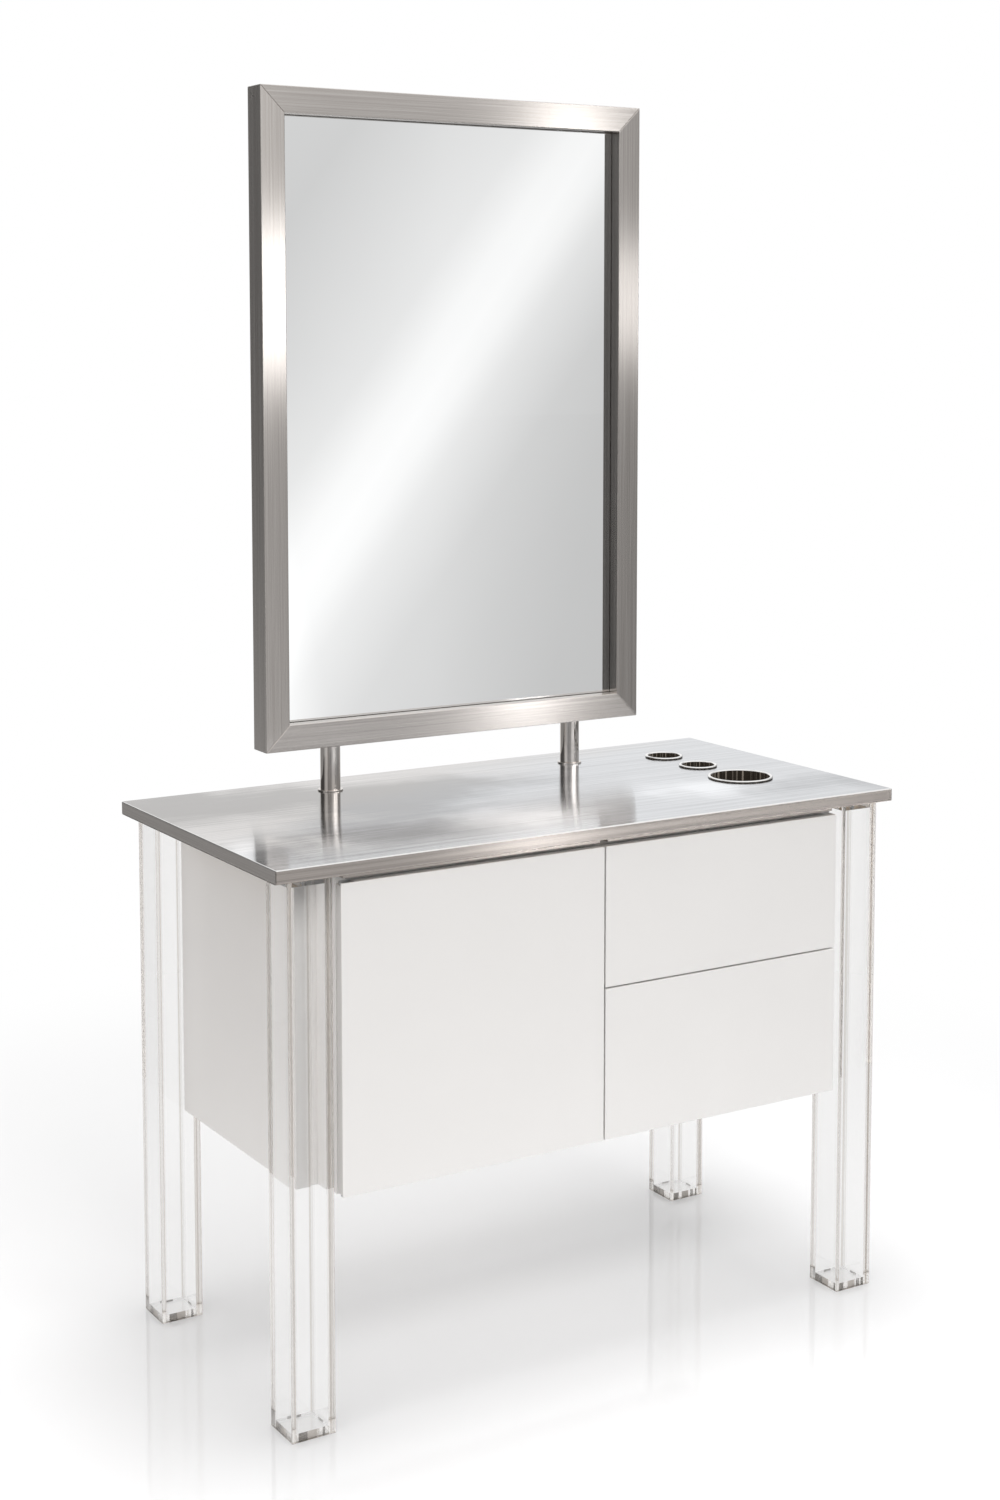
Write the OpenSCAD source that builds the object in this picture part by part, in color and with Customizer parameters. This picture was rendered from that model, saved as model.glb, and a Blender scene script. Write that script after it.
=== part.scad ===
// Free-standing styling station in millimetres: a folded steel top on four clear tube legs,
// a white cabinet hung under it with one door and two drawers, three tool cups let into the
// top, and a framed mirror on two posts.
// Origin on the floor under the middle of the top. +X runs right along the front, +Y to the
// back and +Z up. The front faces -Y.

/* [Work top] */
// Width of the top, left to right
top_w = 1219; // [1100:1:1500]
// Depth of the top, front to back
top_d = 610; // [580:1:700]
// Height of the work surface above the floor
top_h = 914; // [860:1:960]
// Height of the top's folded edge
top_t = 22; // [18:0.5:30]
// Thickness of the top's steel sheet
skin_t = 1.2; // [0.8:0.1:2]

/* [Legs] */
// Outside width of the square leg tube
leg_s = 76; // [70:1:90]
// Wall of the leg tube
leg_wall = 9.5; // [6:0.5:12]
// Leg's distance in from the top's left or right edge
leg_in_x = 26; // [10:1:40]
// Leg's distance in from the top's front or back edge
leg_in_y = 12; // [5:1:20]
// Thickness of the clear plug in each end of a leg
plug_t = 12; // [8:0.5:20]
// Gap between a plug and the leg around it
plug_gap = 0.2; // [0.1:0.05:0.4]
// Radius of the leg bolt's shank
leg_bolt_r = 4; // [3:0.5:5]

/* [Door and drawer fronts] */
// Thickness of the fronts
front_t = 18; // [16:0.5:22]
// Distance of the fronts' faces behind the top's front edge
front_in = 12; // [8:0.5:18]
// Gap between the fronts' outer ends and the legs
leg_side_gap = 15.5; // [10:0.5:20]
// Height of the reveal, from the fronts' upper edge to the top's underside
reveal_gap = 15; // [15:0.5:25]
// Height of the upper drawer's front
upper_front_h = 238.5; // [200:0.5:260]
// Height of the lower drawer's front
lower_front_h = 258; // [220:0.5:300]
// Gap between two fronts
front_gap = 3; // [2:0.5:4]
// Gap between the fronts' backs and the carcass
back_gap = 2; // [2:0.5:3]

/* [Carcass] */
// Thickness of the cabinet's boards
board_t = 18; // [16:0.5:22]
// Thickness of the back board
back_t = 8; // [6:0.5:12]
// Depth of the fixing rails, front to back
rail_d = 80; // [60:1:90]
// Width of the strips between a cheek and its end panel
filler_w = 28; // [22:0.5:34]
// Gap between an end panel's edge and the legs
end_gap = 2; // [1:0.5:4]
// Glue gap between two boards or bars of one sub-part
joint_gap = 0.05; // [0.02:0.01:0.1]
// How far the fronts' lower edge stands above the carcass's underside
front_lift = 0.5; // [0.3:0.1:1]
// Height of the shelf's upper face above the carcass's underside
shelf_up = 262; // [150:1:350]

/* [Reveal strips] */
// Height of the steel strip under the top's front edge
strip_h = 8.6; // [6:0.2:10]
// Distance of a strip's face behind the fronts' faces
strip_in = 5; // [3:0.5:8]
// Distance of a strip's end from the end of its front
strip_end = 6; // [4:0.5:14]

/* [Door hinge] */
// Radius of the pivot pins
pin_r = 2.5; // [2:0.1:2.5]
// Clearance between a pin and its bush
pin_gap = 0.05; // [0.03:0.01:0.08]
// Pivot's distance in from the door's outer edge
pivot_x = 5.5; // [5:0.1:5.5]
// Pivot's distance in front of the door's back face
pivot_y = 10; // [9.5:0.1:11]
// Thickness of the pivot plates
plate_t = 3; // [2.5:0.1:3.5]
// Length of a pivot pin
pin_len = 12; // [8:0.5:16]

/* [Drawers] */
// Thickness of the drawer boxes' walls
box_t = 12; // [10:0.5:15]
// Length of a drawer box behind its front
box_len = 400; // [360:1:420]
// Height of the upper drawer's box
upper_box_h = 100; // [80:1:110]
// Height of the lower drawer's box
lower_box_h = 140; // [100:1:200]
// Height of the lower drawer's box above the carcass's bottom
box_clear = 4.5; // [3:0.5:8]
// Thickness of a drawer's bottom
floor_t = 6; // [4:0.5:8]
// Height of a drawer's bottom above the box's lower edge
floor_up = 10; // [8:0.5:14]

/* [Drawer slides] */
// Width that one slide takes up between the carcass and a drawer box
slide_w = 12.7; // [12.7:0.1:14]
// Height of the outer slide member
slide_h = 45; // [42:0.5:46]
// Sheet thickness of the slide members
slide_t = 1.2; // [1:0.1:1.4]
// Diameter of the balls between the outer and the middle member
ball_outer = 3.8; // [3.6:0.1:4]
// Diameter of the balls between the middle and the inner member
ball_inner = 3.5; // [3.3:0.1:3.7]
// Running gap between a ball and its raceway
ball_gap = 0.05; // [0.03:0.01:0.08]
// Length of the outer slide member
slide_len = 400; // [360:1:410]
// Length of the ball cages
cage_len = 150; // [100:1:160]
// Distance between two balls in a cage
ball_pitch = 24; // [15:1:30]

/* [Mirror] */
// Width over the mirror frame
frame_w = 782; // [700:1:900]
// Height over the mirror frame
frame_h = 1147; // [900:1:1300]
// Width of the frame's face
frame_face = 46; // [40:1:60]
// Depth of the frame, front to back
frame_depth = 50; // [46:1:60]
// Wall of the frame's rectangular tube
frame_wall = 1.5; // [1.2:0.1:2.5]
// Gap between the work surface and the frame
frame_up = 82; // [60:1:120]
// Distance of the frame's back from the top's back edge
frame_back = 75; // [60:1:90]
// Thickness of the mirror glass
glass_t = 5; // [4:0.5:6]
// Distance of the glass behind the frame's face
glass_in = 25; // [15:0.5:28]
// Thickness of the board behind the glass
backer_t = 9; // [6:0.5:10]
// Gap around the glass and its board
glass_gap = 1; // [0.5:0.1:2]
// Leg of the angles that hold the board
angle_leg = 10; // [8:0.5:11]

/* [Mirror posts] */
// Outer radius of a post
post_r = 14; // [12:0.5:16]
// Wall of a post
post_wall = 2; // [1.5:0.1:3]
// Distance between the two posts
post_span = 508; // [400:1:640]
// Radius of the collar at a post's foot
collar_r = 19; // [17:0.5:24]
// Thickness of the collar
collar_t = 2.5; // [2:0.1:4]
// Radius of the bolt through a post
post_bolt_r = 5; // [4:0.5:6]

/* [Tool cups] */
// Inner radius of the two small cups
small_cup_r = 30.3; // [25:0.1:30.5]
// Inner radius of the large cup
large_cup_r = 53.8; // [45:0.1:54]
// Depth of a cup below the work surface
cup_depth = 122; // [80:1:130]
// Sheet thickness of the cups
cup_wall = 1; // [0.8:0.1:1.5]
// How far the rim reaches out past the cup's bore
cup_rim = 5.7; // [4.5:0.1:8]
// Height of the rim above the work surface
cup_rim_h = 3.6; // [2.5:0.1:5]
// Gap between a cup and the hole in the top
cup_gap = 0.5; // [0.3:0.1:1]
// Gap between the small cups and the cabinet's right side
cup_side = 1.7; // [1:0.1:6]
// Distance of the back cup's middle in from the top's back edge
back_cup_in = 146; // [130:1:160]
// Distance between the middles of the two small cups
small_cup_pitch = 110; // [90:1:120]
// Distance between the middles of the middle and the large cup
large_cup_pitch = 130; // [110:1:140]

/* [Hidden] */
$fn = 64;
e = 0.01;

// Colours as the photograph shows them
steel = [0.62, 0.61, 0.59];
dark_steel = [0.42, 0.41, 0.40];
clear = [0.90, 0.92, 0.93, 0.55];
white = [0.91, 0.90, 0.89];
board = [0.78, 0.72, 0.62];
black = [0.12, 0.12, 0.12];
silver = [0.80, 0.83, 0.85];

// Top
under_z = top_h - top_t;
hole_gap = 0.25;

// Legs
leg_x = top_w / 2 - leg_in_x - leg_s / 2;
leg_y = top_d / 2 - leg_in_y - leg_s / 2;
leg_inner_x = leg_x - leg_s / 2;
leg_inner_y = leg_y - leg_s / 2;
plug_s = leg_s - 2 * leg_wall - 2 * plug_gap;
insert_r = leg_bolt_r + 2;
insert_h = 13;
bolt_head_h = 1.3 * leg_bolt_r;
bolt_head_r = 1.85 * leg_bolt_r;
LEGS = [[-1, -1], [1, -1], [-1, 1], [1, 1]];

// Fronts
front_x = leg_inner_x - leg_side_gap;
front_y = -top_d / 2 + front_in;
front_back_y = front_y + front_t;
front_z1 = under_z - reveal_gap;
upper_z0 = front_z1 - upper_front_h;
lower_z1 = upper_z0 - front_gap;
front_z0 = lower_z1 - lower_front_h;

// Carcass
carcass_z0 = front_z0 - front_lift;
carcass_y0 = front_back_y + back_gap;
carcass_y1 = leg_inner_y - end_gap;
inner_y1 = carcass_y1 - back_t;
cheek_x = front_x - board_t;
divider_x = board_t / 2;
end_x = front_x + filler_w;
floor_z = carcass_z0 + board_t;
rail_z = front_z1;
rail_screw_r = 2;
screw_head_r = 2 * rail_screw_r;
screw_head_h = 2;
screw_len = 11;
screw_tip_gap = 1;
shelf_z = carcass_z0 + shelf_up - board_t;
shelf_gap = 1;
shelf_pin_r = 2.5;
shelf_pin_len = 16;
shelf_pin_in = 60;

// Reveal strips
strip_y = front_y + strip_in;
strip_d = carcass_y0 - strip_y;

// Door hinge
hinge_x = -front_x + pivot_x;
hinge_y = front_back_y - pivot_y;
plate_tip_r = pivot_x - 1;
neck_w = 3;
plate_w = 34;
plate_d = 18;
notch_gap = 0.6;
notch_side = 4.5;
touch_gap = 0.3;
bush_wall = 1.7;
bush_r = pin_r + pin_gap + bush_wall;
bush_len = pin_len + 1;

// Drawers and slides
bay_x0 = divider_x;
bay_x1 = cheek_x;
box_x0 = bay_x0 + slide_w;
box_x1 = bay_x1 - slide_w;
lower_box_z = floor_z + box_clear;
upper_box_z = upper_z0 + lower_box_z - front_z0;
upper_slide_z = upper_box_z + 0.4 * upper_box_h;
lower_slide_z = lower_box_z + 0.4 * lower_box_h;
slide_y0 = carcass_y0 + 2;
mid_len = slide_len - 20;
inner_len = slide_len - 5;
groove_gap = 0.1;
lip = 1.9;
mid_web = 2.4;
mid_depth = 8.6;
mid_h = slide_h - 2 * (slide_t + ball_outer + 2 * ball_gap);
inner_h = mid_h - 2 * (slide_t + ball_inner + 2 * ball_gap);
inner_depth = 7.7;
outer_depth = 9;
cage_t = 2.2;
cage_w = 4;

// Mirror
frame_y = top_d / 2 - frame_back - frame_depth;
frame_z = top_h + frame_up;
glass_w = frame_w - 2 * frame_face - 2 * glass_gap;
glass_h = frame_h - 2 * frame_face - 2 * glass_gap;
glass_y = frame_y + glass_in;
backer_y = glass_y + glass_t;
angle_y = backer_y + backer_t;
angle_t = 2;
angle_wide = 15;
side_hole_r = 2.5;
side_hole_down = 18;
side_hole_back = 30;

// Posts
post_y = frame_y + frame_depth / 2;
washer_r = 2.4 * post_bolt_r;
washer_t = 1.5;
nut_h = 8;
hex_r = 1.95 * post_bolt_r;
collar_edge = 1;
post_pocket_r = 16;
post_pocket_h = 22;

// Cups: inner radius and place of each
cup_x = cheek_x - small_cup_r - cup_wall - cup_side;
back_cup_y = top_d / 2 - back_cup_in;
middle_cup_y = back_cup_y - small_cup_pitch;
large_cup_y = middle_cup_y - large_cup_pitch;
CUPS = [[small_cup_r, back_cup_y], [small_cup_r, middle_cup_y], [large_cup_r, large_cup_y]];
cup_bottom_z = top_h - cup_depth;
rail_notch = 2;
cheek_notch = 6;
rear_rail_x1 = cup_x - small_cup_r - cup_wall - 2.5 * rail_notch;

// A box from its low corner to its high corner
module block(p, q) {
    translate(p)
        cube(q - p);
}

// A round bar along Z
module rod(x, y, z0, z1, r) {
    translate([x, y, z0])
        cylinder(h = z1 - z0, r = r);
}

// A six-sided bolt head or nut along Z
module hex(x, y, z0, z1, r) {
    translate([x, y, z0])
        cylinder(h = z1 - z0, r = r, $fn = 6);
}

// A flat shape with round corners
module round_rect(x0, x1, y0, y1, r) {
    translate([x0 + r, y0])
        square([x1 - x0 - 2 * r, y1 - y0]);
    translate([x0, y0 + r])
        square([x1 - x0, y1 - y0 - 2 * r]);
    for (x = [x0 + r, x1 - r], y = [y0 + r, y1 - r])
        translate([x, y])
            circle(r);
}

// Top: a folded steel pan over a board
module cup_holes(z0, z1, gap) {
    for (c = CUPS)
        rod(cup_x, c[1], z0, z1, c[0] + cup_wall + gap);
}

module post_holes(z0, z1) {
    for (s = [-1, 1])
        rod(s * post_span / 2, post_y, z0, z1, post_bolt_r + hole_gap);
}

module top_skin() {
    color(steel)
        difference() {
            block([-top_w / 2, -top_d / 2, under_z], [top_w / 2, top_d / 2, top_h]);
            block([-top_w / 2 + skin_t, -top_d / 2 + skin_t, under_z - 1],
                [top_w / 2 - skin_t, top_d / 2 - skin_t, top_h - skin_t]);
            cup_holes(under_z - 1, top_h + 1, cup_gap);
            post_holes(under_z - 1, top_h + 1);
        }
}

module top_core() {
    color(board)
        difference() {
            block([-top_w / 2 + skin_t, -top_d / 2 + skin_t, under_z],
                [top_w / 2 - skin_t, top_d / 2 - skin_t, top_h - skin_t]);
            cup_holes(under_z - 1, top_h + 1, cup_gap);
            post_holes(under_z - 1, top_h + 1);
            for (l = LEGS)
                rod(l[0] * leg_x, l[1] * leg_y, under_z - 1, under_z + insert_h, insert_r);
            rail_screw_holes(under_z - 1, under_z + screw_len + screw_tip_gap);
            strip_screw_holes(under_z - 1, under_z + screw_len + screw_tip_gap);
        }
}

// Legs: clear square tubes with a plug in each end
module leg(l) {
    color(clear)
        difference() {
            block([l[0] * leg_x - leg_s / 2, l[1] * leg_y - leg_s / 2, 0],
                [l[0] * leg_x + leg_s / 2, l[1] * leg_y + leg_s / 2, under_z]);
            block([l[0] * leg_x - leg_s / 2 + leg_wall, l[1] * leg_y - leg_s / 2 + leg_wall, -1],
                [l[0] * leg_x + leg_s / 2 - leg_wall, l[1] * leg_y + leg_s / 2 - leg_wall,
                under_z + 1]);
        }
}

module leg_plug(l, z) {
    block([l[0] * leg_x - plug_s / 2, l[1] * leg_y - plug_s / 2, z],
        [l[0] * leg_x + plug_s / 2, l[1] * leg_y + plug_s / 2, z + plug_t]);
}

module leg_foot_plugs() {
    color(clear)
        for (l = LEGS)
            leg_plug(l, 0);
}

module leg_head_plugs() {
    color(clear)
        for (l = LEGS)
            difference() {
                leg_plug(l, under_z - plug_t);
                rod(l[0] * leg_x, l[1] * leg_y, under_z - plug_t - 1, under_z + 1,
                    leg_bolt_r + hole_gap);
            }
}

module leg_bolts() {
    color(dark_steel)
        for (l = LEGS) {
            hex(l[0] * leg_x, l[1] * leg_y, under_z - plug_t - bolt_head_h, under_z - plug_t,
                bolt_head_r);
            rod(l[0] * leg_x, l[1] * leg_y, under_z - plug_t - e, under_z + insert_h - 1,
                leg_bolt_r);
        }
}

module leg_inserts() {
    color(dark_steel)
        for (l = LEGS)
            difference() {
                rod(l[0] * leg_x, l[1] * leg_y, under_z, under_z + insert_h, insert_r);
                rod(l[0] * leg_x, l[1] * leg_y, under_z - 1, under_z + insert_h + 1,
                    leg_bolt_r + pin_gap);
            }
}

// Posts: steel tubes between the top and the mirror frame, each on a collar
module post(s) {
    color(steel)
        difference() {
            rod(s * post_span / 2, post_y, top_h + collar_t, frame_z, post_r);
            rod(s * post_span / 2, post_y, top_h, frame_z + 1, post_r - post_wall);
        }
}

module post_collars() {
    color(steel)
        for (s = [-1, 1])
            translate([s * post_span / 2, post_y, top_h])
                rotate_extrude()
                    difference() {
                        round_rect(-collar_r, collar_r, -collar_t, collar_t, collar_edge);
                        translate([-2 * collar_r, -2 * collar_t])
                            square([4 * collar_r, 2 * collar_t]);
                        translate([-2 * collar_r, -2 * collar_t])
                            square([2 * collar_r + post_bolt_r + hole_gap, 4 * collar_t]);
                    }
}

module post_bolts() {
    color(dark_steel)
        for (s = [-1, 1]) {
            hex(s * post_span / 2, post_y, under_z - washer_t - nut_h, under_z - washer_t, hex_r);
            rod(s * post_span / 2, post_y, under_z - washer_t - e, frame_z + frame_wall + nut_h + 2,
                post_bolt_r);
        }
}

module post_washers() {
    color(dark_steel)
        for (s = [-1, 1])
            difference() {
                rod(s * post_span / 2, post_y, under_z - washer_t, under_z, washer_r);
                rod(s * post_span / 2, post_y, under_z - washer_t - 1, under_z + 1,
                    post_bolt_r + hole_gap);
            }
}

module post_nuts() {
    color(dark_steel)
        for (s = [-1, 1])
            difference() {
                hex(s * post_span / 2, post_y, frame_z + frame_wall, frame_z + frame_wall + nut_h,
                    hex_r);
                rod(s * post_span / 2, post_y, frame_z, frame_z + frame_wall + nut_h + 1,
                    post_bolt_r + pin_gap);
            }
}

// Mirror frame: four lengths of rectangular tube, mitred at 45 degrees
// A length runs along +X with its outer edge at z = 0 and its inner edge at z = frame_face
module mitred_tube(length) {
    translate([0, frame_depth, 0])
        rotate([90, 0, 0])
            difference() {
                linear_extrude(frame_depth)
                    polygon([[0, 0], [length, 0], [length - frame_face, frame_face],
                        [frame_face, frame_face]]);
                translate([0, 0, frame_wall])
                    linear_extrude(frame_depth - 2 * frame_wall)
                        polygon([[frame_wall - 1, frame_wall],
                            [length - frame_wall + 1, frame_wall],
                            [length - frame_face + frame_wall + 1, frame_face - frame_wall],
                            [frame_face - frame_wall - 1, frame_face - frame_wall]]);
            }
}

module frame_bottom() {
    color(steel)
        difference() {
            translate([-frame_w / 2, frame_y, frame_z])
                mitred_tube(frame_w);
            post_holes(frame_z - 1, frame_z + frame_wall + 1);
        }
}

module frame_top() {
    color(steel)
        translate([-frame_w / 2, frame_y, frame_z + frame_h])
            mirror([0, 0, 1])
                mitred_tube(frame_w);
}

module frame_left() {
    color(steel)
        difference() {
            translate([-frame_w / 2, frame_y, frame_z])
                mirror([1, 0, 0])
                    rotate([0, -90, 0])
                        mitred_tube(frame_h);
            translate([-frame_w / 2 - 1, frame_y + side_hole_back,
                frame_z + frame_h - side_hole_down])
                rotate([0, 90, 0])
                    cylinder(h = frame_wall + 2, r = side_hole_r);
        }
}

module frame_right() {
    color(steel)
        translate([frame_w / 2, frame_y, frame_z])
            rotate([0, -90, 0])
                mitred_tube(frame_h);
}

module glass_board(y, t) {
    z = frame_z + frame_face + glass_gap;
    block([-glass_w / 2, y, z], [glass_w / 2, y + t, z + glass_h]);
}

module mirror_glass() {
    color(silver)
        glass_board(glass_y, glass_t);
}

// Screws through the angles into the board: places across and up, seen from the back
screw_in = angle_wide / 2 + 1;
board_screws = [
    for (s = [-1, 1], k = [0.15, 0.5, 0.85])
        [s * (frame_w / 2 - frame_face - screw_in), frame_z + k * frame_h],
    for (s = [-1, 1], k = [0, 1])
        [s * frame_w / 4, frame_z + k * frame_h + (1 - 2 * k) * (frame_face + screw_in)]];

module board_screw_holes(y0, y1, r) {
    for (p = board_screws)
        translate([p[0], y0, p[1]])
            rotate([-90, 0, 0])
                cylinder(h = y1 - y0, r = r);
}

module mirror_backer() {
    color(dark_steel)
        difference() {
            glass_board(backer_y, backer_t);
            board_screw_holes(backer_y + 1, backer_y + backer_t + 1, rail_screw_r);
        }
}

// An angle along the inside of a frame tube, behind the board
module angle_bar(length) {
    block([0, 0, 0], [length, angle_leg, angle_t]);
    block([0, 0, 0], [length, angle_t, angle_wide]);
}

module mirror_angles() {
    w = frame_w / 2 - frame_face;
    z0 = frame_z + frame_face;
    z1 = frame_z + frame_h - frame_face;
    side = z1 - z0 - 2 * angle_wide - 2 * joint_gap;
    color(dark_steel)
        difference() {
            union() {
                translate([-w, angle_y, z0])
                    angle_bar(2 * w);
                translate([-w, angle_y, z1])
                    mirror([0, 0, 1])
                        angle_bar(2 * w);
                translate([w, angle_y, z0 + angle_wide + joint_gap])
                    rotate([0, -90, 0])
                        angle_bar(side);
                translate([-w, angle_y, z0 + angle_wide + joint_gap])
                    mirror([1, 0, 0])
                        rotate([0, -90, 0])
                            angle_bar(side);
            }
            board_screw_holes(angle_y - 1, angle_y + angle_t + 1, rail_screw_r + hole_gap);
        }
}

module mirror_screws() {
    color(dark_steel)
        for (p = board_screws)
            translate([p[0], angle_y + angle_t, p[1]])
                rotate([90, 0, 0]) {
                    cylinder(h = angle_t + backer_t - 2, r = rail_screw_r);
                    translate([0, 0, -screw_head_h])
                        cylinder(h = screw_head_h, r = screw_head_r);
                }
}

// Tool cups: spun cups with a rolled rim that lies on the top
module cup(c) {
    r = c[0];
    rim = cup_rim_h / 2;
    color(steel)
        translate([cup_x, c[1], 0])
            rotate_extrude() {
                translate([0, cup_bottom_z])
                    square([r + cup_wall, cup_wall]);
                translate([r, cup_bottom_z])
                    square([cup_wall, top_h + rim - cup_bottom_z]);
                translate([r + rim, top_h])
                    square([cup_rim - 2 * rim, cup_rim_h]);
                translate([r + rim, top_h + rim])
                    circle(rim);
                translate([r + cup_rim - rim, top_h + rim])
                    circle(rim);
            }
}

// Fixing screws of the rails: two at the front of each bay, two at the back
rail_screws = [
    for (x = [-0.8, -0.35, 0.3, 0.62], y = [0, 1])
        [x * cheek_x, y == 0 ? carcass_y0 + rail_d / 2 : inner_y1 - rail_d / 2]];
strip_screws = [
    for (s = [-1, 1], k = [0.25, 0.75])
        s * (front_gap / 2 + strip_end + k * (front_x - front_gap / 2 - 2 * strip_end))];

module rail_screw_holes(z0, z1) {
    for (p = rail_screws)
        rod(p[0], p[1], z0, z1, rail_screw_r);
}

module strip_screw_holes(z0, z1) {
    for (x = strip_screws)
        rod(x, strip_y + strip_d / 2, z0, z1, rail_screw_r);
}

module cabinet_screws() {
    color(dark_steel) {
        rail_screw_holes(rail_z - screw_head_h + e, under_z + screw_len);
        strip_screw_holes(under_z - strip_h, under_z + screw_len);
        for (p = rail_screws)
            rod(p[0], p[1], rail_z - screw_head_h, rail_z, screw_head_r);
    }
}

module carcass_rails() {
    color(white)
        difference() {
            union() {
                block([-cheek_x, carcass_y0, rail_z], [cheek_x, carcass_y0 + rail_d, under_z]);
                block([-cheek_x, inner_y1 - rail_d, rail_z], [rear_rail_x1, inner_y1, under_z]);
            }
            rail_screw_holes(rail_z - 1, under_z + 1);
            cup_holes(rail_z - 1, under_z + 1, rail_notch);
            post_pockets();
        }
}

// Room for the nut and washer under each post
module post_pockets() {
    for (s = [-1, 1])
        rod(s * post_span / 2, post_y, under_z - post_pocket_h, under_z + 1, post_pocket_r);
}

module cheek(s) {
    block([s > 0 ? cheek_x : -front_x, carcass_y0, carcass_z0],
        [s > 0 ? front_x : -cheek_x, carcass_y1, under_z]);
}

module shelf_pin_holes() {
    for (x = [-cheek_x, -divider_x], y = shelf_pin_ys)
        translate([x - shelf_pin_len / 2, y, shelf_z - shelf_pin_r])
            rotate([0, 90, 0])
                cylinder(h = shelf_pin_len, r = shelf_pin_r);
}

shelf_pin_ys = [carcass_y0 + shelf_pin_in, inner_y1 - shelf_pin_in];

module cheek_left() {
    color(white)
        difference() {
            cheek(-1);
            shelf_pin_holes();
        }
}

// The right cheek is cut away round the large cup, which reaches over it
module cheek_right() {
    color(white)
        difference() {
            cheek(1);
            block([cheek_x - 1, large_cup_y - large_cup_r - cheek_notch, cup_bottom_z - cheek_notch],
                [front_x + 1, large_cup_y + large_cup_r + cheek_notch, under_z + 1]);
        }
}

module end_panel(s) {
    color(white)
        block([s > 0 ? end_x : -end_x - board_t, -leg_inner_y + end_gap, carcass_z0],
            [s > 0 ? end_x + board_t : -end_x, leg_inner_y - end_gap, under_z]);
}

// Strips that close the gap between a cheek and its end panel at the front, back and bottom
module leg_fillers() {
    y1 = leg_inner_y - end_gap;
    color(white)
        for (s = [-1, 1]) {
            x0 = s > 0 ? front_x : -end_x;
            x1 = s > 0 ? end_x : -front_x;
            block([x0, -y1, carcass_z0], [x1, -y1 + board_t, under_z]);
            block([x0, y1 - board_t, carcass_z0], [x1, y1, under_z]);
            block([x0, -y1 + board_t + joint_gap, carcass_z0],
                [x1, y1 - board_t - joint_gap, floor_z]);
        }
}

module divider() {
    color(white)
        difference() {
            block([-divider_x, carcass_y0, floor_z], [divider_x, inner_y1, rail_z]);
            shelf_pin_holes();
        }
}

// The bottom's front left corner is let in for the lower pivot plate
module carcass_bottom() {
    color(white)
        difference() {
            block([-cheek_x, carcass_y0, carcass_z0], [cheek_x, inner_y1, floor_z]);
            block([-cheek_x - 1, carcass_y0 - 1, carcass_z0 - 1],
                [-cheek_x + plate_w + notch_gap, carcass_y0 + plate_d + notch_gap,
                carcass_z0 + plate_t]);
        }
}

module carcass_back() {
    color(white)
        difference() {
            block([-cheek_x, inner_y1, carcass_z0], [cheek_x, carcass_y1, under_z]);
            post_pockets();
        }
}

module shelf() {
    color(white)
        block([-cheek_x + shelf_gap, carcass_y0 + 20, shelf_z],
            [-divider_x - shelf_gap, inner_y1 - shelf_gap, shelf_z + board_t]);
}

module shelf_pins() {
    color(dark_steel)
        shelf_pin_holes();
}

module reveal_strip(s) {
    x0 = front_gap / 2 + strip_end;
    x1 = front_x - strip_end;
    color(steel)
        difference() {
            block([s > 0 ? x0 : -x1, strip_y, under_z - strip_h],
                [s > 0 ? x1 : -x0, carcass_y0, under_z]);
            strip_screw_holes(under_z - strip_h - 1, under_z + 1);
        }
}

// Pivot plate: a tongue round the pin, and a foot that is screwed to the carcass
module pivot_plate() {
    foot_x = board_t - pivot_x;
    foot_y = pivot_y + back_gap;
    cylinder(h = plate_t, r = plate_tip_r);
    block([0, -plate_tip_r, 0], [foot_x + neck_w, foot_y - notch_gap, plate_t]);
    block([foot_x + notch_gap, pivot_y + touch_gap, 0],
        [foot_x + plate_w, foot_y + plate_d, plate_t]);
    translate([0, 0, plate_t - e])
        cylinder(h = pin_len + e, r = pin_r);
}

module hinge_plates() {
    color(steel) {
        translate([hinge_x, hinge_y, carcass_z0])
            pivot_plate();
        translate([hinge_x, hinge_y, rail_z])
            mirror([0, 0, 1])
                pivot_plate();
    }
}

// Soft stops on the divider's front edge, behind the fronts' corners
bumper_r = 3;
bumper_in = 20;

module bumpers() {
    xs = [-divider_x / 2 - front_gap / 4, divider_x / 2 + front_gap / 4];
    zs = [floor_z + bumper_in, lower_z1 - bumper_in, upper_z0 + bumper_in, rail_z - bumper_in];
    color(clear)
        for (x = xs, z = zs)
            translate([x, carcass_y0, z])
                rotate([90, 0, 0])
                    cylinder(h = back_gap - touch_gap, r = bumper_r);
}

// Magnetic catch under the front rail, and its strike on the door
catch_x = -divider_x - 60;
catch_w = 40;
catch_h = 13;
catch_d = 14;
strike_t = 1.2;
catch_proud = back_gap - strike_t - touch_gap;

module catch_body() {
    color(dark_steel)
        block([catch_x, carcass_y0 - catch_proud, rail_z - catch_h],
            [catch_x + catch_w, carcass_y0 + catch_d, rail_z]);
}

module catch_strike() {
    color(steel)
        block([catch_x, front_back_y, rail_z - catch_h], [catch_x + catch_w, front_back_y + strike_t,
            rail_z - 1]);
}

// Door: a slab, notched at its hinge corners for the pivot plates and bored for the bushes
module hinge_notch() {
    block([-pivot_x - 1, -plate_tip_r - notch_gap, -1],
        [board_t - pivot_x + neck_w + notch_side, pivot_y + 1, plate_t + notch_gap]);
    cylinder(h = plate_t + notch_gap + bush_len, r = bush_r);
}

module door_panel() {
    color(white)
        difference() {
            block([-front_x, front_y, front_z0], [-front_gap / 2, front_back_y, front_z1]);
            translate([hinge_x, hinge_y, carcass_z0])
                hinge_notch();
            translate([hinge_x, hinge_y, front_z1])
                mirror([0, 0, 1])
                    hinge_notch();
        }
}

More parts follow.
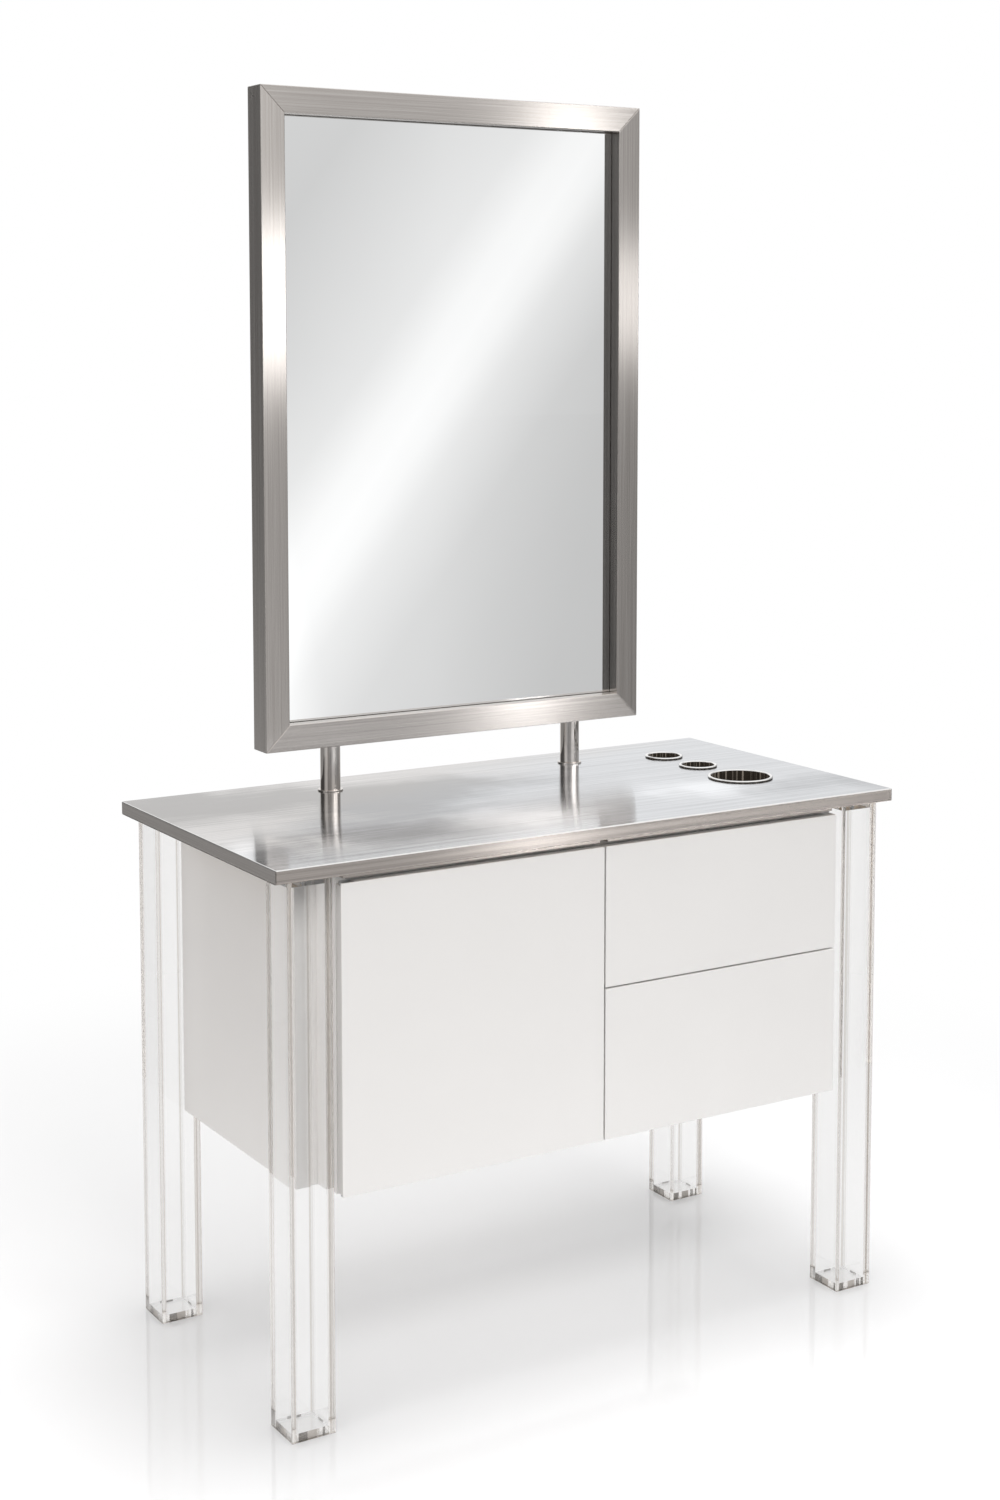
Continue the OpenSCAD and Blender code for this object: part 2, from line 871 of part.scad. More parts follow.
module hinge_bush() {
    z0 = plate_t + notch_gap / 2;
    difference() {
        translate([0, 0, z0])
            cylinder(h = bush_len + notch_gap / 2, r = bush_r);
        translate([0, 0, z0 - 1])
            cylinder(h = pin_len + 1, r = pin_r + pin_gap);
    }
}

module hinge_bushes() {
    color(black) {
        translate([hinge_x, hinge_y, carcass_z0])
            hinge_bush();
        translate([hinge_x, hinge_y, front_z1])
            mirror([0, 0, 1])
                hinge_bush();
    }
}

// Drawers: an applied front and a grooved box
module drawer_front(z0, h) {
    color(white)
        block([front_gap / 2, front_y, z0], [front_x, front_back_y, z0 + h]);
}

module drawer_floor(z, grow) {
    block([box_x0 + box_t / 2 - grow, front_back_y + box_t / 2 - grow, z + floor_up - grow],
        [box_x1 - box_t / 2 + grow, front_back_y + box_len - box_t / 2 + grow,
        z + floor_up + floor_t + grow]);
}

module drawer_box(z, h) {
    y1 = front_back_y + box_len;
    color(board)
        difference() {
            union() {
                block([box_x0, front_back_y, z], [box_x0 + box_t, y1, z + h]);
                block([box_x1 - box_t, front_back_y, z], [box_x1, y1, z + h]);
            }
            drawer_floor(z, groove_gap);
        }
    color(board)
        difference() {
            union() {
                block([box_x0 + box_t + joint_gap, front_back_y, z],
                    [box_x1 - box_t - joint_gap, front_back_y + box_t, z + h]);
                block([box_x0 + box_t + joint_gap, y1 - box_t, z],
                    [box_x1 - box_t - joint_gap, y1, z + h]);
            }
            drawer_floor(z, groove_gap);
        }
}

module drawer_bottom(z) {
    color(board)
        drawer_floor(z, 0);
}

// Slide members as rolled sections: u runs from the carcass towards the drawer, v up
module section(y, length) {
    translate([0, y + length, 0])
        rotate([90, 0, 0])
            linear_extrude(length)
                children();
}

module channel(u0, depth, h, t, r) {
    difference() {
        round_rect(u0, u0 + depth, -h / 2, h / 2, r);
        round_rect(u0 + t, u0 + depth - t, -h / 2 + t, h / 2 - t, r - t / 2);
        translate([u0 + depth - t - e, -h / 2 + t + lip])
            square([t + 2 * e, h - 2 * t - 2 * lip]);
    }
}

// Both slides of one drawer: the left one on the divider, the right one on the cheek
module slide_pair(z) {
    translate([bay_x0, 0, z])
        children();
    translate([bay_x1, 0, z])
        mirror([1, 0, 0])
            children();
}

module slide_outers() {
    color(silver)
        for (z = [upper_slide_z, lower_slide_z])
            slide_pair(z)
                section(slide_y0, slide_len)
                    channel(0, outer_depth, slide_h, slide_t, 1.5);
}

module slide_mids(z) {
    color(silver)
        slide_pair(z)
            section(slide_y0 + 2, mid_len)
                channel(mid_web, mid_depth, mid_h, slide_t, 1.5);
}

module slide_inners(z) {
    color(silver)
        slide_pair(z)
            section(slide_y0, inner_len)
                difference() {
                    translate([slide_w - inner_depth, -inner_h / 2])
                        square([inner_depth, inner_h]);
                    translate([slide_w - inner_depth - 1, -inner_h / 2 + slide_t])
                        square([inner_depth - slide_t + 1, inner_h - 2 * slide_t]);
                }
}

// A cage: a strip in the raceway with a row of balls through it
module cage(u, v, y, d) {
    n = floor((cage_len - d) / ball_pitch);
    translate([u - cage_w / 2, y, v - cage_t / 2])
        cube([cage_w, cage_len, cage_t]);
    for (i = [0 : n - 1])
        translate([u, y + (cage_len - (n - 1) * ball_pitch) / 2 + i * ball_pitch, v])
            sphere(d = d, $fn = 24);
}

module slide_cages(z) {
    outer_v = slide_h / 2 - slide_t - ball_gap - ball_outer / 2;
    inner_v = mid_h / 2 - slide_t - ball_gap - ball_inner / 2;
    y0 = slide_y0 + 2;
    color(steel)
        slide_pair(z)
            for (s = [-1, 1]) {
                cage(outer_depth / 2 + 0.5, s * outer_v, y0 + mid_len - cage_len, ball_outer);
                cage(mid_web + mid_depth / 2 + 0.4, s * inner_v, y0, ball_inner);
            }
}

top_skin();
top_core();
leg(LEGS[0]);  // leg_front_left
leg(LEGS[1]);  // leg_front_right
leg(LEGS[2]);  // leg_back_left
leg(LEGS[3]);  // leg_back_right
leg_foot_plugs();
leg_head_plugs();
leg_bolts();
leg_inserts();
post(-1);  // post_left
post(1);  // post_right
post_collars();
post_bolts();
post_nuts();
post_washers();
frame_top();
frame_bottom();
frame_left();
frame_right();
mirror_glass();
mirror_backer();
mirror_angles();
mirror_screws();
cup(CUPS[0]);  // cup_back
cup(CUPS[1]);  // cup_middle
cup(CUPS[2]);  // cup_large
end_panel(-1);  // end_panel_left
end_panel(1);  // end_panel_right
leg_fillers();
cheek_left();
cheek_right();
divider();
carcass_bottom();
carcass_back();
carcass_rails();
cabinet_screws();
shelf();
shelf_pins();
reveal_strip(-1);  // reveal_strip_left
reveal_strip(1);  // reveal_strip_right
hinge_plates();
bumpers();
catch_body();
slide_outers();
door_panel();
hinge_bushes();
catch_strike();
drawer_front(upper_z0, upper_front_h);  // drawer_upper_front
drawer_box(upper_box_z, upper_box_h);  // drawer_upper_box
drawer_bottom(upper_box_z);  // drawer_upper_bottom
slide_inners(upper_slide_z);  // slide_inners_upper
drawer_front(front_z0, lower_front_h);  // drawer_lower_front
drawer_box(lower_box_z, lower_box_h);  // drawer_lower_box
drawer_bottom(lower_box_z);  // drawer_lower_bottom
slide_inners(lower_slide_z);  // slide_inners_lower
slide_mids(upper_slide_z);  // slide_mids_upper
slide_cages(upper_slide_z);  // slide_cages_upper
slide_mids(lower_slide_z);  // slide_mids_lower
slide_cages(lower_slide_z);  // slide_cages_lower
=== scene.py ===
# %% [markdown]
# # A free-standing styling station
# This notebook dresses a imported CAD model: a steel work top on four clear tube legs, a white
# cabinet with a door and two drawers, three tool cups and a framed mirror on two posts.
# The CAD model fixes where everything is. The cells below only add surfaces and finishes.

import math

import bpy
import numpy as np
from mathutils import Matrix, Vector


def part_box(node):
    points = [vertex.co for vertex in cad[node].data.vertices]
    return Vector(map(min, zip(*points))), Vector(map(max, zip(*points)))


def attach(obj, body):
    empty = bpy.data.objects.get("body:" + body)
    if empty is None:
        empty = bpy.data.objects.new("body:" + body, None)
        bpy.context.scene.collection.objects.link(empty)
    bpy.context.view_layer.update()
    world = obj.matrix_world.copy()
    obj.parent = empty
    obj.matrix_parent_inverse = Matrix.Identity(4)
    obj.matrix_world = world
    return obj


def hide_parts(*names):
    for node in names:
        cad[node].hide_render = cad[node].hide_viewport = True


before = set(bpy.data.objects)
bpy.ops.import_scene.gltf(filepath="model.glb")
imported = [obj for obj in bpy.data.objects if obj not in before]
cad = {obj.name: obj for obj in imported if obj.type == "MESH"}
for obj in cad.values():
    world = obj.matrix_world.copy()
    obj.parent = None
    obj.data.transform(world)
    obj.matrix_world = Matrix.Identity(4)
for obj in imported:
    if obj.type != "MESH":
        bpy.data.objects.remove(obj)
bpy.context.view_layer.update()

# %% [markdown]
# ## The camera
# A camera can be set by eye until the picture agrees, or worked out from points whose real
# places are known. Here it was worked out, so its place and focal length are plain numbers.
# The photograph's vertical lines hardly lean, as with a shift lens: its optical middle lies
# well above the picture's middle, which Blender calls a vertical shift. Light crosses many
# clear walls on its way through the legs, so a ray may bounce more often than usual.

# %% Camera
IMAGE_HEIGHT = 1500
FOCAL_LENGTH = 2272.6
OPTICAL_MIDDLE = 549.3
CAMERA_PLACE = (-2.0785, -3.356, 1.7123)
CAMERA_YAW = 0.549
CAMERA_PITCH = -0.092
SENSOR = 36.0
FARTHEST_SEEN = 200
MOST_BOUNCES, GLOSSY_BOUNCES = 24, 20


def looking(yaw, pitch):
    """Columns of a camera's turn: right, up and backwards, for a yaw to the right of +Y and a
    pitch above the horizon, both in radians."""
    ahead = np.array([math.sin(yaw) * math.cos(pitch), math.cos(yaw) * math.cos(pitch),
                      math.sin(pitch)])
    right = np.array([math.cos(yaw), -math.sin(yaw), 0.0])
    return np.stack([right, np.cross(right, ahead), -ahead], 1)


camera = bpy.data.objects.new("camera", bpy.data.cameras.new("camera"))
bpy.context.scene.collection.objects.link(camera)
camera.matrix_world = Matrix.LocRotScale(
    CAMERA_PLACE, Matrix(looking(CAMERA_YAW, CAMERA_PITCH).tolist()), None)
camera.data.sensor_width = SENSOR
camera.data.lens = FOCAL_LENGTH / IMAGE_HEIGHT * SENSOR
camera.data.shift_y = OPTICAL_MIDDLE / IMAGE_HEIGHT - 0.5
camera.data.clip_end = FARTHEST_SEEN
bpy.context.scene.camera = camera
bpy.context.scene.view_settings.view_transform = "Standard"
bpy.context.scene.cycles.max_bounces = MOST_BOUNCES
bpy.context.scene.cycles.glossy_bounces = GLOSSY_BOUNCES
bpy.context.scene.cycles.transmission_bounces = MOST_BOUNCES
print("camera: lens", round(camera.data.lens, 2), "mm, shift", round(camera.data.shift_y, 3))

# %% [markdown]
# ## Building blocks for materials
# Every finish here is a small network of nodes. One helper adds a node, sets its settings and
# joins its inputs, so that a network reads like a list of ingredients. The others are short
# names for the nodes that come up most: sums on numbers and on directions, blends of two
# values or colours, and noise.

# %% Node helpers
def add(tree, kind, inputs=None, **settings):
    """Adds a node of a kind, with settings, and sets or joins its inputs by name or number."""
    made = tree.nodes.new("ShaderNode" + kind)
    for key, value in settings.items():
        setattr(made, key, value)
    for key, value in (inputs or {}).items():
        if isinstance(value, bpy.types.NodeSocket):
            tree.links.new(value, made.inputs[key])
        else:
            made.inputs[key].default_value = value
    return made


def maths(tree, operation, *values):
    """A sum on one, two or three numbers."""
    return add(tree, "Math", dict(enumerate(values)), operation=operation).outputs[0]


def vector_maths(tree, operation, *values):
    """A sum on places or directions. A length and a dot product come out as a number."""
    made = add(tree, "VectorMath", dict(enumerate(values)), operation=operation)
    return made.outputs["Value" if operation in ("LENGTH", "DOT_PRODUCT") else "Vector"]


def parts_of(tree, vector):
    """The X, Y and Z of a place or direction, by name."""
    return add(tree, "SeparateXYZ", {0: vector}).outputs


def spread(tree, value, low, high, start=0.3, end=0.7, smooth=False):
    """Maps a value from start..end to low..high, straight or in an S, and stops at both ends."""
    way = "SMOOTHSTEP" if smooth else "LINEAR"
    return add(tree, "MapRange", {"Value": value, "From Min": start, "From Max": end,
                                  "To Min": low, "To Max": high},
               interpolation_type=way).outputs["Result"]


def rise(tree, value, start, end):
    """From 0 to 1 while a value goes from start to end."""
    return spread(tree, value, 0.0, 1.0, start, end)


def blend(tree, share, first, second):
    """A number from the first, at a share of 0, to the second, at 1."""
    return add(tree, "Mix", {"Factor": share, 2: first, 3: second}).outputs[0]


def blend_colours(tree, share, first, second):
    """A colour from the first, at a share of 0, to the second, at 1."""
    return add(tree, "Mix", {"Factor": share, 6: first, 7: second}, data_type="RGBA").outputs[2]


def tint(tree, value, dark, light):
    """A colour between dark and light, as value goes from 0 to 1."""
    return blend_colours(tree, value, (*dark, 1), (*light, 1))


def profile(tree, value, stops):
    """A value looked up on a line through (place, level) stops, flat beyond its ends."""
    first, last = stops[0][0], stops[-1][0]
    ramp = add(tree, "ValToRGB", {0: rise(tree, value, first, last)})
    points = ramp.color_ramp.elements
    points[0].color, points[1].color = ((level, level, level, 1)
                                        for level in (stops[0][1], stops[-1][1]))
    for where, level in stops[1:-1]:
        points.new((where - first) / (last - first)).color = (level, level, level, 1)
    return ramp.outputs[0]


# %% Where a finish is, and how it starts
def here_on(tree):
    """The point on the piece, in metres."""
    return add(tree, "TexCoord").outputs["Object"]


def facing(tree):
    """The direction that the face looks in."""
    return add(tree, "NewGeometry").outputs["Normal"]


def stretched(tree, where, scale):
    """A place stretched by its own factor along each axis, as a pattern's coordinates."""
    return add(tree, "Mapping", {"Vector": where, "Scale": scale}).outputs[0]


def noise(tree, where, scale=1.0, detail=3.0):
    """Soft random values round 0.5 at these coordinates."""
    return add(tree, "TexNoise", {"Vector": where, "Scale": scale, "Detail": detail,
                                  "Roughness": 0.55}).outputs["Fac"]


def existing(tree, kind):
    """The node of a kind that a new network starts with."""
    return next(node for node in tree.nodes if node.type == kind)


def finish(name, **constants):
    """A new material with one Principled shader and these constants on its own sockets."""
    material = bpy.data.materials.new(name)
    material.use_nodes = True
    tree = material.node_tree
    shader = existing(tree, "BSDF_PRINCIPLED")
    for key, value in constants.items():
        socket = shader.inputs[key.replace("_", " ")]
        socket.default_value = (*value, 1.0) if isinstance(value, tuple) else value
    return material, tree, shader


# %% [markdown]
# ## Brushed stainless steel
# A belt sander leaves thousands of fine parallel scratches. They do two things. Close up they
# are streaks, a little lighter and darker, a little rougher and smoother. From a step away they
# smear every reflection across the scratches and leave it sharp along them.
# The streaks are a noise that is stretched long along the grain. The smear is the shader's
# anisotropy, whose direction is worked out as the cross product of the face and the grain, so
# one material works on every side of a tube.

# %% Brushed steel
AXES = {"x": (1, 0, 0), "y": (0, 1, 0), "z": (0, 0, 1)}
LEANING_X = (1, 0.02, 0)
SIDEWAYS = 0.7
FINE_GRAIN, WIDE_GRAIN = (6, 1800, 2), (1.5, 300, 3)
STREAK_SPAN = (0.75, 1.25)
STEEL_DARK, STEEL_LIGHT = (0.57, 0.53, 0.50), (0.74, 0.70, 0.665)
# A darker copy of the same steel, as painted shade, for the top's front, back and under sides and
# the reveal strips.
SHADED_EDGE_DARK, SHADED_EDGE_LIGHT = (0.33, 0.30, 0.28), (0.47, 0.43, 0.40)


def looks_sideways(tree, face):
    """1 on a face that looks to the left or right, and 0 on any other."""
    return maths(tree, "GREATER_THAN", maths(tree, "ABSOLUTE", parts_of(tree, face)["X"]),
                 SIDEWAYS)


def brushed_steel(name, grain, dark, light, rough=(0.19, 0.215), smear=1.0, dressed=None):
    """Steel brushed along an axis, its streaks between a dark and a light tone. On a face that
    a grain along x would stick out of, x and y change places, so the streaks follow the face.
    That grain also leans a little, so that its cross product with such a face isn't zero."""
    material, tree, shader = finish(name, Metallic=1.0, Anisotropic=smear)
    face, here = facing(tree), here_on(tree)
    along = AXES[grain]
    if grain == "x":
        part = parts_of(tree, here)
        swapped = add(tree, "CombineXYZ", {"X": part["Y"], "Y": part["X"], "Z": part["Z"]})
        here = add(tree, "Mix", {"Factor": looks_sideways(tree, face), 4: here,
                                 5: swapped.outputs[0]}, data_type="VECTOR").outputs[1]
        along = LEANING_X

    def streaks(lengthwise, across, detail):
        scale = [lengthwise if a else across for a in AXES[grain]]
        return noise(tree, stretched(tree, here, scale), detail=detail)

    fine, wide = streaks(*FINE_GRAIN), streaks(*WIDE_GRAIN)
    streak = rise(tree, maths(tree, "ADD", fine, wide), *STREAK_SPAN)
    colour = tint(tree, streak, dark, light)
    dull = spread(tree, wide, *rough)
    if dressed:
        colour, dull = dressed(tree, here, face, streak, colour, dull)
    tree.links.new(colour, shader.inputs["Base Color"])
    tree.links.new(dull, shader.inputs["Roughness"])
    across = vector_maths(tree, "CROSS_PRODUCT", face, along)
    tree.links.new(across, shader.inputs["Tangent"])
    bump = add(tree, "Bump", {"Height": fine, "Strength": 0.08, "Distance": 0.0001})
    tree.links.new(bump.outputs[0], shader.inputs["Normal"])
    return material


# %% [markdown]
# ## The work top's finish
# A work top is wiped every day, so its upper face has a higher gloss than the frame's steel.
# Its colour carries painted reflection: soft light and dark patches over the streaks, cooler in
# front and warmer at the back left. Its left and right folded sides keep the plain brushed
# finish, its front, back and under sides get a darker copy of it as painted shade, and the round
# where the sheet folds down gets a painted highlight. One material does all of this: it blends
# its finishes by the direction that a face looks in.

# %% Work top
TOP_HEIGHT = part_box("top_skin")[1][2]
TOP_DARK, TOP_LIGHT = (0.30, 0.31, 0.33), (0.91, 0.93, 0.96)
WARM_DARK, WARM_LIGHT = (0.33, 0.315, 0.305), (0.95, 0.92, 0.90)
WARM_WAY, WARM_SPAN = (-0.5, 1.0, 0.0), (0.04, 0.26)
TOP_SHADE, TOP_ROUGH = (0.28, 0.72), (0.09, 0.125)
LOOKS_UP = (0.3, 0.9)
# The colour on the fold is a painted highlight.
ARRIS_PAINTED_HIGHLIGHT, ARRIS_TILT, ARRIS_REACH = (0.84, 0.83, 0.82), 0.65, 0.32
PATCH_BEND, PATCH_FADE = (0.5, 0.14, 0.0), (0.1, 1.2)
# Each patch is a painted reflection: middle, half length, half width and gain.
PAINTED_REFLECTIONS = [(-0.54, 0.22, 0.30, 0.20, -0.72), (-0.36, -0.15, 0.22, 0.09, -0.34),
           (-0.24, 0.0, 0.24, 0.13, -0.42), (-0.57, -0.16, 0.09, 0.11, 0.42),
           (-0.11, -0.15, 0.20, 0.09, 0.55), (0.31, -0.13, 0.18, 0.09, 0.52),
           (0.58, -0.21, 0.20, 0.12, -0.36), (-0.17, 0.13, 0.32, 0.13, -0.66)]


def dressed_top(tree, here, face, streak, colour, rough):
    """Colour and roughness of the work top. A patch is a painted reflection, a lighter or darker
    tone in the colour: its middle, half its length and width and its gain. It fades from its
    middle to an oval's edge, and a slow noise bends its outline. The warmer tint towards the back
    left is painted reflection too."""
    bend = add(tree, "TexNoise", {"Vector": here, "Scale": 5.0, "Detail": 3.0}).outputs["Color"]
    bend = vector_maths(tree, "SUBTRACT", bend, (0.5, 0.5, 0.5))
    bent = vector_maths(tree, "ADD", here, vector_maths(tree, "MULTIPLY", bend, PATCH_BEND))
    shade = spread(tree, streak, *TOP_SHADE, 0, 1)
    for x, y, half_long, half_wide, gain in PAINTED_REFLECTIONS:
        off = vector_maths(tree, "SUBTRACT", bent, (x, y, TOP_HEIGHT))
        off = vector_maths(tree, "MULTIPLY", off, (1 / half_long, 1 / half_wide, 0))
        fade = spread(tree, vector_maths(tree, "LENGTH", off), gain, 0.0, *PATCH_FADE,
                      smooth=True)
        shade = maths(tree, "ADD", shade, fade)
    lift = parts_of(tree, face)["Z"]
    upright = rise(tree, lift, *LOOKS_UP)
    colour = blend_colours(tree, looks_sideways(tree, face), colour,
                           tint(tree, streak, STEEL_DARK, STEEL_LIGHT))
    # A warmer painted reflection towards the back left.
    warmth = rise(tree, vector_maths(tree, "DOT_PRODUCT", bent, WARM_WAY), *WARM_SPAN)
    streaks_and_painted_reflection = blend_colours(tree, warmth, tint(tree, shade, TOP_DARK, TOP_LIGHT),
                          tint(tree, shade, WARM_DARK, WARM_LIGHT))
    colour = blend_colours(tree, upright, colour, streaks_and_painted_reflection)
    rough = blend(tree, upright, rough, spread(tree, streak, *TOP_ROUGH, 0, 1))
    # Painted highlight: a light colour on the faces that lean like the round of the fold.
    painted_arris = maths(tree, "ABSOLUTE", maths(tree, "SUBTRACT", lift, ARRIS_TILT))
    painted_arris = maths(tree, "LESS_THAN", painted_arris, ARRIS_REACH)
    return blend_colours(tree, painted_arris, colour, (*ARRIS_PAINTED_HIGHLIGHT, 1)), rough


steel_top = brushed_steel("steel_top", "x", SHADED_EDGE_DARK, SHADED_EDGE_LIGHT, dressed=dressed_top)
steel_rail = brushed_steel("steel_rail", "x", STEEL_DARK, STEEL_LIGHT)
# The reveal strips get the darker copy of the steel: painted shade.
shaded_steel_strip = brushed_steel("shaded_steel_strip", "x", SHADED_EDGE_DARK, SHADED_EDGE_LIGHT)
steel_stile = brushed_steel("steel_stile", "z", STEEL_DARK, STEEL_LIGHT)
steel_post = brushed_steel("steel_post", "z", STEEL_DARK, STEEL_LIGHT, (0.05, 0.08), 0.0)
print("brushed steel: along x for the top and the rails, along z for the stiles and posts")


# %% [markdown]
# ## Polished and plated metal
# The cups are spun on a lathe and polished. Spinning leaves faint rings, so their roughness
# changes with height. Bolts and slides are zinc-plated: duller, with a fine crystal mottle.

# %% Polished steel and zinc
def polished_steel(name):
    """Mirror-bright steel with faint rings from the lathe. Upright walls and the outer side of
    the rolled rim get painted reflection and painted shade: a dark, less metallic colour with
    light streaks that run down the wall, a noise of the wall's own direction."""
    material, tree, shader = finish(name, Metallic=1.0)
    rings = noise(tree, stretched(tree, here_on(tree), (20, 20, 900)), detail=2)
    bright = tint(tree, rings, (0.80, 0.79, 0.78), (0.98, 0.97, 0.96))
    face = facing(tree)
    # Painted reflection and shade: upright faces get a dark, less metallic colour with painted
    # light streaks.
    level = vector_maths(tree, "MULTIPLY", face, (1, 1, 0))
    streak = rise(tree, noise(tree, level, 9.0, 4.0), 0.5, 0.72)
    wall = tint(tree, streak, (0.03, 0.024, 0.018), (0.45, 0.39, 0.33))
    lift = rise(tree, parts_of(tree, face)["Z"], 0.1, 0.45)
    tree.links.new(lift, shader.inputs["Metallic"])
    tree.links.new(blend_colours(tree, lift, wall, bright), shader.inputs["Base Color"])
    tree.links.new(spread(tree, rings, 0.05, 0.12), shader.inputs["Roughness"])
    return material


def plated(name, dark, light, rough):
    """Zinc plate: a small crystal mottle in colour and roughness."""
    material, tree, shader = finish(name, Metallic=1.0)
    crystals = add(tree, "TexVoronoi", {"Vector": here_on(tree), "Scale": 500.0})
    grey = add(tree, "RGBToBW", {0: crystals.outputs["Color"]}).outputs[0]
    tree.links.new(tint(tree, grey, dark, light), shader.inputs["Base Color"])
    tree.links.new(spread(tree, grey, *rough, 0, 1), shader.inputs["Roughness"])
    return material


cup_steel = polished_steel("cup_steel")
zinc = plated("zinc", (0.50, 0.51, 0.52), (0.68, 0.69, 0.70), (0.28, 0.42))
print("polished steel for the cups, zinc plate for bolts and slides")


# %% [markdown]
# ## White lacquer and the boards behind it
# Sprayed lacquer isn't quite flat: it dries with a faint ripple, called orange peel, that only
# shows in the gloss. So the colour stays even and the ripple goes into the bump. The drawer
# boxes are coated board with a finer, duller grain, and the board inside the top is raw.

# %% Lacquer and boards
def coated(name, dark, light, rough, ripple, gloss=0.5):
    """A painted or coated board: almost even colour, with a fine ripple in its gloss."""
    material, tree, shader = finish(name, Specular_IOR_Level=gloss)
    patches = noise(tree, here_on(tree), 9.0)
    grain = noise(tree, here_on(tree), ripple, 2.0)
    tree.links.new(tint(tree, patches, dark, light), shader.inputs["Base Color"])
    tree.links.new(spread(tree, patches, *rough), shader.inputs["Roughness"])
    bump = add(tree, "Bump", {"Height": grain, "Strength": 0.06, "Distance": 0.0003})
    tree.links.new(bump.outputs[0], shader.inputs["Normal"])
    return material


lacquer = coated("white_lacquer", (0.80, 0.785, 0.77), (0.82, 0.805, 0.79), (0.30, 0.36), 320.0)
melamine = coated("white_melamine", (0.78, 0.77, 0.75), (0.80, 0.79, 0.77), (0.45, 0.55), 900.0)
raw_board = coated("raw_board", (0.36, 0.27, 0.18), (0.48, 0.38, 0.27), (0.8, 0.9), 1200.0, 0.2)
print("boards: white lacquer, white melamine, raw fibreboard")


# %% [markdown]
# ## Clear acrylic
# Acrylic bends light a little less than window glass: its index is 1.49. The legs are real
# tubes with real wall thickness, so they bend what is behind them as real ones do. Where two
# walls meet, light is led along inside the acrylic and comes out dimmer and warmer. That is
# painted into the surface colour as a warm grey: clear on the panes, a painted shade over the
# corners and a painted contact shadow on the rim that stands on the floor. The plugs are set
# into the feet with glue, and their sides get grey patches of painted shade, less clear there.
# The plugs are glued into the feet, and the glue shows as grey patches.

# %% Clear acrylic
LEG_WALL = 0.0095
leg_low, leg_high = (np.array(corner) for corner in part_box("leg_back_right"))
LEG_MIDDLE, LEG_HALF = (leg_low + leg_high) / 2, (leg_high[0] - leg_low[0]) / 2
OUTER_FACE = LEG_HALF - 0.001
# Painted shade across a corner: distance from the axis, and share of the warm grey.
PAINTED_LINE_STOPS = [(0.0276, 0.0), (0.0285, 1.0), (0.0312, 1.0), (0.0325, 0.30), (0.0366, 0.30),
              (0.0372, 0.75), (0.0380, 0.75)]
NEAR_SHARE, NEAR_CORNER = 0.22, (-0.055, -0.03)
SIDE_SHARE = 0.6
# The painted contact shadow: its share and the heights it fades over.
FOOT_SHADOW_SHARE, FOOT_SHADOW_BAND = 1.6, (0.0025, 0.004)
# The plugs' painted shade: its half width on the near sides, and how clear it stays.
PLUG_SHADE_HALF, PLUG_SHADE_CLEAR, SQUARE_ON = 0.008, 0.15, 0.5
ACRYLIC_PAINTED_SHADE = (0.55, 0.51, 0.47)


def leg_place(tree):
    """Where a point lies from its own leg's axis, to the right and to the back."""
    here = parts_of(tree, here_on(tree))
    off = [maths(tree, "MULTIPLY_ADD", maths(tree, "SIGN", here[axis]), -middle, here[axis])
           for axis, middle in (("X", LEG_MIDDLE[0]), ("Y", LEG_MIDDLE[1]))]
    return off[0], off[1], here["Z"]


def leg_painted_shade(tree):
    """How much painted shade a point of a leg gets, from 0 to 1: a painted line over each corner,
    and a painted contact shadow low on the outer faces. A point lies over a corner when the
    smaller of its two distances from the axis is beyond the wall's inner side. The line is
    fainter at the corner that looks at the camera, and on the left and right faces."""
    right, back, height = leg_place(tree)
    off = [maths(tree, "ABSOLUTE", value) for value in (right, back)]
    line = profile(tree, maths(tree, "MINIMUM", *off), PAINTED_LINE_STOPS)
    near = spread(tree, maths(tree, "ADD", right, back), NEAR_SHARE, 1.0, *NEAR_CORNER)
    line = maths(tree, "MULTIPLY", line, near)
    frontal = maths(tree, "GREATER_THAN", off[1], OUTER_FACE)
    line = maths(tree, "MULTIPLY", line, spread(tree, frontal, SIDE_SHARE, 1.0, 0, 1))
    outer = maths(tree, "GREATER_THAN", maths(tree, "MAXIMUM", *off), OUTER_FACE)
    # A painted contact shadow along the bottom of the outer faces.
    rim = spread(tree, height, FOOT_SHADOW_SHARE, 0.0, *FOOT_SHADOW_BAND)
    return maths(tree, "MAXIMUM", line, maths(tree, "MULTIPLY", rim, outer))


def plug_painted_shade(tree):
    """Where a plug's sides get painted shade, from 0 to 1: all along the far ones, and in the
    middle of the near ones."""
    right, back, _ = leg_place(tree)
    face = parts_of(tree, facing(tree))
    far = maths(tree, "MAXIMUM", face["X"], face["Y"])
    far = maths(tree, "GREATER_THAN", far, SQUARE_ON)
    near = maths(tree, "MINIMUM", face["X"], face["Y"])
    near = maths(tree, "LESS_THAN", near, -SQUARE_ON)
    along = [maths(tree, "ABSOLUTE", value) for value in (right, back)]
    middle = maths(tree, "LESS_THAN", maths(tree, "MINIMUM", *along), PLUG_SHADE_HALF)
    return maths(tree, "MAXIMUM", far, maths(tree, "MULTIPLY", near, middle))


